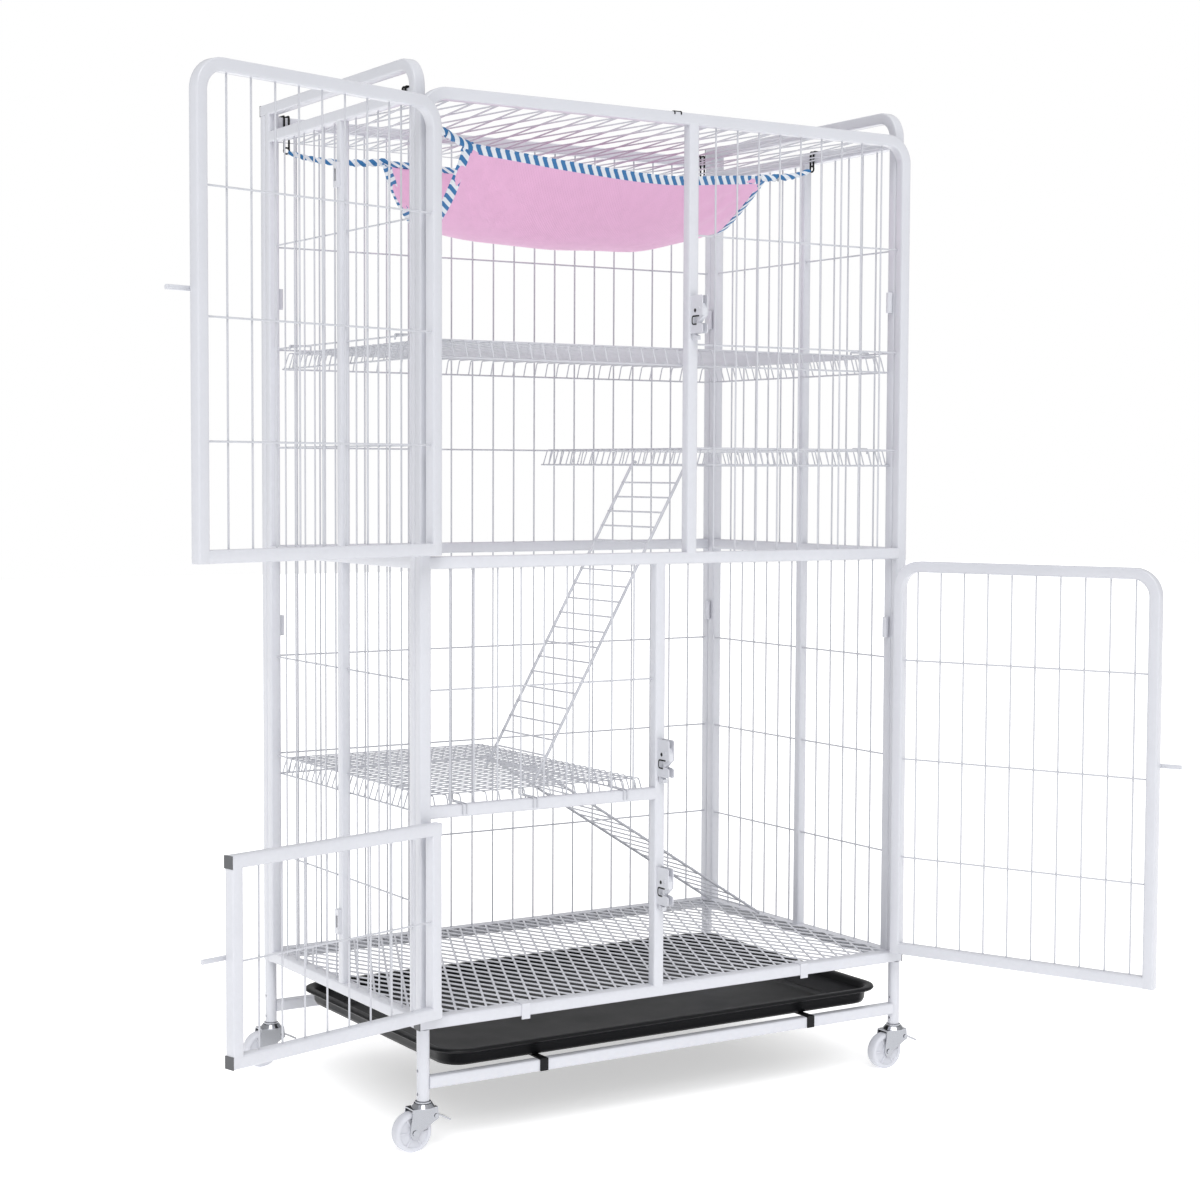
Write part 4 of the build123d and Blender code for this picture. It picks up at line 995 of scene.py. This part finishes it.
def tape(bm, flat, rings, width_at):
    """Join rings of (length so far, points) and note the flat coordinates of every corner."""
    for (start, first), (stop, second) in zip(rings, rings[1:]):
        for k in range(len(first)):
            m = (k + 1) % len(first)
            made = bm.faces.new((first[k][0], first[m][0], second[m][0], second[k][0]))
            corners = ((start, k), (start, k + 1), (stop, k + 1), (stop, k))
            for loop, (along, place) in zip(made.loops, corners):
                loop[flat].uv = (along, width_at(first, place))
    bm.faces.new([vert for vert, _ in rings[0][1]][::-1])
    bm.faces.new([vert for vert, _ in rings[-1][1]])


class CAGE_OT_hammock(bpy.types.Operator):
    """Hang the cloth in its belly, bind its hems and twist its corners into straps"""
    bl_idname = "cage.hammock"
    bl_label = "Hammock"
    across_x = 64
    down_y = 56

    def hung(self, u, v):
        """Where a point of the cloth hangs; u runs left to right, v front to back."""
        top = sizes().front_top
        fronts = [(0.097, 0.065, 0.040), (0.285, 0.110, 0.045), (0.475, 0.158, 0.044),
                  (0.668, 0.209, 0.025)]
        bellies = [(0.108, 0.225, 0.137), (0.285, 0.245, 0.144), (0.475, 0.275, 0.139),
                   (0.668, 0.312, 0.104)]
        backs = [(0.150, 0.402, 0.020), (0.305, 0.408, 0.022), (0.475, 0.414, 0.020),
                 (0.655, 0.424, 0.008)]
        place = u * 3
        i = min(2, int(place))
        t = place - i
        row = []
        for table in (fronts, bellies, backs):
            ends = with_ends([at(x, y, top - drop) for x, y, drop in table])
            row.append(smooth(*ends[i:i + 4], t))
        front, belly, back = row
        control = 2 * belly - 0.5 * (front + back)
        lean = 0.5 + 0.5 * (2 * v - 1) * (1 - 0.18 * (1 - (2 * v - 1) ** 2))
        point = front * (1 - lean) ** 2 + control * 2 * lean * (1 - lean) + back * lean ** 2
        fall, rise = (0.5 * (math.sqrt((1 - 2 * v) ** 2 + 0.02) + way * (1 - 2 * v)) for way in (1, -1))
        taut = belly + (front - belly) * fall + (back - belly) * rise
        point = point.lerp(taut, 0.75 * u ** 3 + 0.35 * (1 - u) ** 4)
        pull = 0.010 * math.sin(math.pi * v)
        point.x += pull * (1 - u) ** 3 - pull * u ** 3
        return point + Vector((0, 0, self.crease(u, v)))

    def crease(self, u, v):
        """Soft folds that run out from the corners, and a few slack ones in the belly."""
        deep = bpy.context.scene.cloth_sizes.crease
        total = 0.0
        for cu, cv, turn in ((0, 0, 0.2), (1, 0, 1.3), (0, 1, 2.1), (1, 1, 0.7)):
            du, dv = (u - cu) * 1.45, v - cv
            reach = math.hypot(du, dv)
            if reach < 1e-4:
                continue
            spread = math.atan2(abs(dv), abs(du))
            total += math.sin(13 * spread + turn) * math.exp(-((reach - 0.22) / 0.2) ** 2)
        slack = math.sin(9.0 * u + 5.5 * v + 0.6) * math.sin(math.pi * v) ** 2 * math.sin(math.pi * u)
        slack += 0.6 * math.sin(21.0 * u - 8.0 * v) * math.sin(math.pi * v) ** 2 * math.sin(math.pi * u)
        return deep * (0.8 * total + 0.7 * slack)

    def execute(self, context):
        c = context.scene.cloth_sizes
        grid = [[self.hung(i / self.across_x, j / self.down_y) for j in range(self.down_y + 1)]
                for i in range(self.across_x + 1)]
        width = sum((grid[i + 1][28] - grid[i][28]).length for i in range(self.across_x))
        length = sum((grid[32][j + 1] - grid[32][j]).length for j in range(self.down_y))
        bm = bmesh.new()
        flat = bm.loops.layers.uv.new("flat")
        verts = [[bm.verts.new(p) for p in row] for row in grid]
        area = 0.0
        for i in range(self.across_x):
            for j in range(self.down_y):
                corners = ((i, j), (i + 1, j), (i + 1, j + 1), (i, j + 1))
                face = bm.faces.new([verts[a][b] for a, b in corners])
                area += face.calc_area()
                for loop, (a, b) in zip(face.loops, corners):
                    loop[flat].uv = (a / self.across_x * width, b / self.down_y * length)
        cloth = piece("hammock_cloth", bm, "hammock_cloth", "cage", ["hammock"], 180)
        thicken = cloth.modifiers.new("cloth", "SOLIDIFY")
        thicken.thickness = c.thick
        thicken.offset = 0
        bake(cloth)
        tapes = self.bind(grid)
        straps = self.straps(grid)
        self.hooks()
        return {"FINISHED"}

    def hooks(self):
        """Slim wire hooks over the bars, each with an eye that holds its strap."""
        s, rail, c = sizes(), levels()["rail"], bpy.context.scene.cloth_sizes
        thin = 0.0014
        gap = 0.0003 + thin
        low = s.front_top - 0.007
        far = s.tube + 0.0003 + thin
        runs = []
        for x, inward, y in ((0, 1, c.left_hook), (s.width, -1, c.right_hook)):
            top = s.front_top + s.tube + gap
            runs.append(([at(x - inward * gap, y, s.front_top + 0.006), at(x - inward * gap, y, top),
                          at(x + inward * far, y, top), at(x + inward * far, y, low)], AXIS["Y"]))
        for x in (c.back_hook, s.width - c.back_hook):
            top = rail + gap
            runs.append(([at(x, s.depth + gap, rail - 0.009), at(x, s.depth + gap, top),
                          at(x, s.depth - far, top), at(x, s.depth - far, low)], AXIS["X"]))
        bm = bmesh.new()
        for points, normal in runs:
            for shift in (-0.0035, 0.0035):
                sweep(bm, [p + normal * shift for p in bent(points, 0.0022, 4)],
                      round_section(thin, 10), normal)
            eye = points[-1]
            ring = [eye + at(0, 0, -0.001) + (normal * math.cos(t) + at(0, 0, 1) * math.sin(t)) * 0.0042
                    for t in (2 * math.pi * i / 16 for i in range(16))]
            sweep(bm, ring, round_section(thin * 0.9, 8), normal.cross(at(0, 0, 1)), closed=True)
        piece("hook_wires", bm, "black_moulding", "cage", ["hammock_hooks"])

    def bind(self, grid):
        """Striped tape folded over each hem."""
        c = bpy.context.scene.cloth_sizes
        tapes = []
        hems = {"front": ([row[0] for row in grid], [row[2] for row in grid]),
                "back": ([row[-1] for row in grid], [row[-3] for row in grid]),
                "left": (grid[0], grid[2]), "right": (grid[-1], grid[-3])}
        for name, (edge, inner) in hems.items():
            bm = bmesh.new()
            flat = bm.loops.layers.uv.new("flat")
            rings = []
            run = 0.0
            for i, point in enumerate(edge):
                if i:
                    run += (point - edge[i - 1]).length
                ahead = (edge[min(i + 1, len(edge) - 1)] - edge[max(i - 1, 0)]).normalized()
                into = inner[i] - point
                into = (into - ahead * into.dot(ahead)).normalized()
                face = ahead.cross(into).normalized()
                half = c.thick / 2 + 0.0005
                outline = [(c.binding, half), (c.binding * 0.5, half * 1.15), (0.001, half),
                           (-0.0008, half * 0.6), (-0.0012, 0), (-0.0008, -half * 0.6), (0.001, -half),
                           (c.binding * 0.5, -half * 1.15), (c.binding, -half)]
                rings.append((run, [(bm.verts.new(point + into * a + face * b), a if b >= 0 else -a)
                                    for a, b in outline]))
            tape(bm, flat, rings, lambda first, k: abs(first[k % len(first)][1]))
            tapes.append(piece("binding_" + name, bm, "striped_binding", "cage", [], 50))
        return tapes

    def straps(self, grid):
        """Each corner's bindings, rolled and twisted into a strap that reaches its hook."""
        s, c = sizes(), bpy.context.scene.cloth_sizes
        low = s.front_top - 0.011
        inner = s.tube + 0.0065
        ends = {"front_left": (grid[0][0], at(inner, c.left_hook, low)),
                "front_right": (grid[-1][0], at(s.width - inner, c.right_hook, low)),
                "back_left": (grid[0][-1], at(c.back_hook, s.depth - inner, low)),
                "back_right": (grid[-1][-1], at(s.width - c.back_hook, s.depth - inner, low))}
        made = []
        for name, (corner, hook) in ends.items():
            run = hook - corner
            sag = at(0, 0, -0.05 * run.length)
            inward = -run.normalized() * 0.012
            path = curve_through([corner + inward, corner + run * 0.35 + sag, corner + run * 0.7 + sag,
                                  hook], 14)
            bm = bmesh.new()
            flat = bm.loops.layers.uv.new("flat")
            sides = 14
            around = 0.027 / sides
            rings = []
            gone = 0.0
            for i, point in enumerate(path):
                if i:
                    gone += (point - path[i - 1]).length
                ahead = (path[min(i + 1, len(path) - 1)] - path[max(i - 1, 0)]).normalized()
                u = across(ahead)
                v = ahead.cross(u)
                share = i / (len(path) - 1)
                thick = 0.0052 - 0.0020 * share
                ring = []
                for k in range(sides):
                    t = 2 * math.pi * k / sides
                    lobes = 1 + 0.20 * math.cos(2 * (t - 260 * gone))
                    spoke = (u * math.cos(t) + v * math.sin(t)) * thick * lobes
                    ring.append((bm.verts.new(point + spoke), k))
                rings.append((gone, ring))
            tape(bm, flat, rings, lambda first, k: k * around)
            made.append(piece("strap_" + name, bm, "striped_binding", "cage", [], 60))
        return made


class CAGE_OT_fittings(bpy.types.Operator):
    """Finish the latches, clips, connectors and casters"""
    bl_idname = "cage.fittings"
    bl_label = "Fittings and casters"

    def execute(self, context):
        dress("powder_coat", "upper_catch", "small_catch", "lower_catch", "deck_clips",
              "slot_brackets", "panel_connectors")
        self.roof_clip()
        self.latches()
        self.slots()
        dress("zinc_plate", "caster_kingpins")
        s = sizes()
        for name, x, y in (("front_left", 0, 0), ("rear_left", 0, 1), ("front_right", 1, 0),
                           ("rear_right", 1, 1)):
            dress("zinc_plate", "caster_fork_" + name, "caster_brake_" + name)
            leg = at(s.tube / 2 + x * (s.width - s.tube), s.tube / 2 + y * (s.depth - s.tube), 0)
            self.wheel(name, leg + at(-0.016, 0, 0.025))
        return {"FINISHED"}

    def roof_clip(self):
        """A black clip over the top bar: two bent wires with a pressed bridge."""
        low, high = cage_box("roof_clip")
        top = high.z - 0.0009
        bm = bmesh.new()
        for x in (low.x + 0.001, high.x - 0.001):
            run = bent([at(x, low.y + 0.001, top - 0.004), at(x, low.y + 0.001, top),
                        at(x, high.y - 0.001, top), at(x, high.y - 0.001, low.z + 0.004)], 0.0014, 4)
            sweep(bm, run, round_section(0.0009, 8), AXIS["X"])
        middle, half = (low.x + high.x) / 2, (high.x - low.x) / 2 - 0.0004
        flat = [(-half, -0.0008), (half, -0.0008), (half, 0.0008), (-half, 0.0008)]
        sweep(bm, [at(middle, low.y + 0.003, top), at(middle, low.y + 0.007, top)], flat, AXIS["Z"])
        sweep(bm, [at(middle, high.y - 0.007, top), at(middle, high.y - 0.003, top)], flat, AXIS["Z"])
        piece("roof_clip_wires", bm, "black_moulding", "cage", ["roof_clip"])

    def latches(self):
        """Folded latch plates with a mouth for the rod and a rivet, with thin black pieces as painted shade
        inside each bracket, round the mouth's closed end and in a small hole.
        """
        s, h = sizes(), levels()
        mid = s.tube / 2
        sheet, half, deep = 0.0012, 0.0045, 0.0262
        plates, painted_shade = bmesh.new(), bmesh.new()
        for x, z in ((h["upper_bar"] + mid, h["upper_latch"]), (h["lower_bar"] + mid, h["small_latch"]),
                     (h["lower_bar"] + mid, h["lower_latch"])):
            outline = [(0, -0.017), (-deep + 0.002, -0.017), (-deep, -0.015), (-deep, -0.0058),
                       (-0.021, -0.0040), (-0.0062, -0.0036), (-0.0048, -0.0022), (-0.0044, 0),
                       (-0.0048, 0.0022), (-0.0062, 0.0036), (-0.021, 0.0040), (-deep, 0.0058),
                       (-deep, 0.030), (-deep + 0.002, 0.032), (0, 0.032)]
            for start in (x - half, x + half - sheet):
                rings = [[plates.verts.new((start + shift, y, z + up)) for y, up in outline]
                         for shift in (0, sheet)]
                skin(plates, rings)
            flat = [(-half + sheet, -sheet / 2), (half - sheet, -sheet / 2), (half - sheet, sheet / 2),
                    (-half + sheet, sheet / 2)]
            sweep(plates, [at(x, -sheet / 2, z - 0.017), at(x, -sheet / 2, z + 0.032)], flat, AXIS["Y"])
            for side in (-1, 1):
                lathe(plates, at(x + side * half, -0.0185, z + 0.0146), AXIS["X"] * side,
                      [(0, 0.0026), (0.0005, 0.0025), (0.0009, 0.0016), (0.001, 0)], 18)
            # Painted shade: a thin black plate at the web's front face, where the inside of the folded bracket
            # lies in shadow.
            thin = [(-0.0027, -0.0001), (0.0027, -0.0001), (0.0027, 0.0001), (-0.0027, 0.0001)]
            sweep(painted_shade, [at(x, -0.0014, z - 0.016), at(x, -0.0014, z + 0.031)], thin, AXIS["Y"])
            # Painted shade: a black disc on each plate stands for a small hole, and a black lip round the
            # mouth's closed end stands for the shadow inside the mouth.
            for side in (-1, 1):
                lathe(painted_shade, at(x + side * (half + 0.00005), -0.0095, z + 0.0125), AXIS["X"] * side,
                      [(0, 0.0026), (0.0001, 0.0025), (0.00012, 0)], 14)
                out = x + side * half
                lip = bent([at(out, -0.019, z + 0.0052), at(out, -0.0031, z + 0.0052),
                            at(out, -0.0031, z - 0.0052), at(out, -0.013, z - 0.0052)], 0.003, 4)
                sweep(painted_shade, lip, [(-0.0010, -0.0002), (0.0010, -0.0002), (0.0010, 0.0002),
                                     (-0.0010, 0.0002)], AXIS["X"])
        piece("latch_plates", plates, "powder_coat", "cage", ["latch_brackets"])
        # These black pieces are painted shade, not parts of the latch.
        piece("latch_painted_shade", painted_shade, "black_moulding", "cage", [])

    def slots(self):
        """Thin black plates down in the slots of the two brackets on the side post, as painted shade where the
        slots lie open.
        """
        low, high = cage_box("slot_brackets")
        bm = bmesh.new()
        y = (low.y + high.y) / 2
        for z in (low.z + 0.016, high.z - 0.016):
            flat = [(-0.0019, -0.0075), (0.0019, -0.0075), (0.0019, 0.0075), (-0.0019, 0.0075)]
            sweep(bm, [at(high.x - 0.0035, y, z), at(high.x - 0.0011, y, z)], flat, AXIS["Z"])
        # Painted shade: the black plates stand for the shadow down in the slots.
        piece("slot_painted_shade", bm, "black_moulding", "cage", [])

    def wheel(self, name, centre):
        """A moulded wheel: rounded tread, dished faces, a raised ring and a hub."""
        half = 0.0085
        near = [(-0.0090, 0.0026), (-0.0092, 0.0062), (-0.0086, 0.0072), (-0.0066, 0.0078),
                (-0.0064, 0.0100), (-0.0062, 0.0150), (-0.0066, 0.0182), (-half + 0.0004, 0.0192),
                (-half, 0.0204), (-half + 0.0003, 0.0226), (-half + 0.0015, 0.0240),
                (-half + 0.0035, 0.0248), (-0.0020, 0.0250)]
        profile = near + [(-along, radius) for along, radius in near[::-1]] + near[:1]
        bm = bmesh.new()
        lathe(bm, centre, AXIS["Y"], profile, 64)
        for side in (-1, 1):
            for i in range(6):
                turn = math.pi / 3 * i
                out = at(math.cos(turn), 0, math.sin(turn))
                inner = centre + out * 0.0070 + at(0, side * 0.0066, 0)
                outer = centre + out * 0.0190 + at(0, side * 0.0070, 0)
                rod(bm, inner, outer, 0.0011, 8)
        piece("wheel_" + name, bm, "moulded_nylon", "wheel_" + name, ["caster_wheel_" + name],
              35)


class CAGE_OT_stage(bpy.types.Operator):
    """Set the pale floor, the soft lights and the camera at the photograph's angle"""
    bl_idname = "cage.stage"
    bl_label = "Stage"

    def execute(self, context):
        bm = bmesh.new()
        reach = 14.0
        corners = ((-reach, -reach), (reach, -reach), (reach, reach), (-reach, reach))
        bm.faces.new([bm.verts.new((x, y, -0.0002)) for x, y in corners])
        floor = put("studio_floor", bm)
        floor.data.shade_smooth()
        floor.data.materials.append(finish("studio_floor"))
        self.sun("key", (-0.45, -0.80, 1.05), 1.55, 42)
        self.sun("top", (0.35, 0.25, 1.6), 0.55, 90)
        world = bpy.data.worlds.new("studio")
        world.use_nodes = True
        tree = world.node_tree
        seen = node(tree, "ShaderNodeLightPath").outputs["Is Camera Ray"]
        level = node(tree, "ShaderNodeMapRange", [("Value", seen), ("To Min", 0.52), ("To Max", 1.0)])
        tree.nodes["Background"].inputs["Color"].default_value = (1, 1, 1, 1)
        tree.links.new(level.outputs[0], tree.nodes["Background"].inputs["Strength"])
        context.scene.world = world
        context.scene.view_settings.view_transform = "Standard"
        self.camera(context)
        return {"FINISHED"}

    def sun(self, name, place, power, softness):
        lamp = bpy.data.lights.new(name, "SUN")
        lamp.energy = power
        lamp.angle = math.radians(softness)
        made = bpy.data.objects.new(name, lamp)
        made.rotation_euler = (-Vector(place)).to_track_quat("-Z", "Y").to_euler()
        bpy.context.scene.collection.objects.link(made)

    def camera(self, context):
        yaw, pitch, roll = math.radians(32.14), math.radians(3.31), math.radians(0.25)
        ahead = at(math.sin(yaw) * math.cos(pitch), math.cos(yaw) * math.cos(pitch), -math.sin(pitch))
        right = at(math.cos(yaw), -math.sin(yaw), 0)
        up = right.cross(ahead)
        level = math.cos(roll) * right + math.sin(roll) * up
        upright = math.cos(roll) * up - math.sin(roll) * right
        lens = bpy.data.cameras.new("photo_view")
        lens.sensor_width = 36
        lens.lens = 66.73
        lens.clip_end = 100
        made = bpy.data.objects.new("photo_view", lens)
        turn = Matrix((level, upright, -ahead)).transposed()
        made.matrix_world = Matrix.Translation(CORNER + at(-1.24594, -2.39197, 0.83538)) @ turn.to_4x4()
        context.scene.collection.objects.link(made)
        context.scene.camera = made


PIECES = (CAGE_OT_stage, CAGE_OT_front, CAGE_OT_back, CAGE_OT_sides, CAGE_OT_doors, CAGE_OT_base,
          CAGE_OT_nets, CAGE_OT_shelves, CAGE_OT_ladders, CAGE_OT_hammock, CAGE_OT_fittings)
GROUPS = (("cage_sizes", CageSizes), ("panel_wires", PanelWires), ("door_sizes", DoorSizes),
          ("shelf_sizes", ShelfSizes), ("net_sizes", NetSizes), ("cloth_sizes", ClothSizes),
          ("cage_finishes", Finishes))


class CAGE_PT_build(bpy.types.Panel):
    """Lists the operators that build the cage, and its sizes"""
    bl_idname = "CAGE_PT_build"
    bl_label = "Cat cage"
    bl_space_type = "VIEW_3D"
    bl_region_type = "UI"
    bl_category = "Cat cage"

    def draw(self, context):
        for step in PIECES:
            self.layout.operator(step.bl_idname)
        for name, kind in GROUPS:
            box = self.layout.box()
            for label in kind.__annotations__:
                box.prop(getattr(context.scene, name), label)


def register():
    for name, kind in GROUPS:
        bpy.utils.register_class(kind)
        setattr(bpy.types.Scene, name, PointerProperty(type=kind))
    for kind in PIECES + (CAGE_PT_build,):
        bpy.utils.register_class(kind)


def unregister():
    for kind in reversed(PIECES + (CAGE_PT_build,)):
        bpy.utils.unregister_class(kind)
    for name, kind in reversed(GROUPS):
        delattr(bpy.types.Scene, name)
        bpy.utils.unregister_class(kind)


def main():
    register()
    for step in PIECES:
        family, call = step.bl_idname.split(".")
        getattr(getattr(bpy.ops, family), call)()


if __name__ == "__main__":
    main()
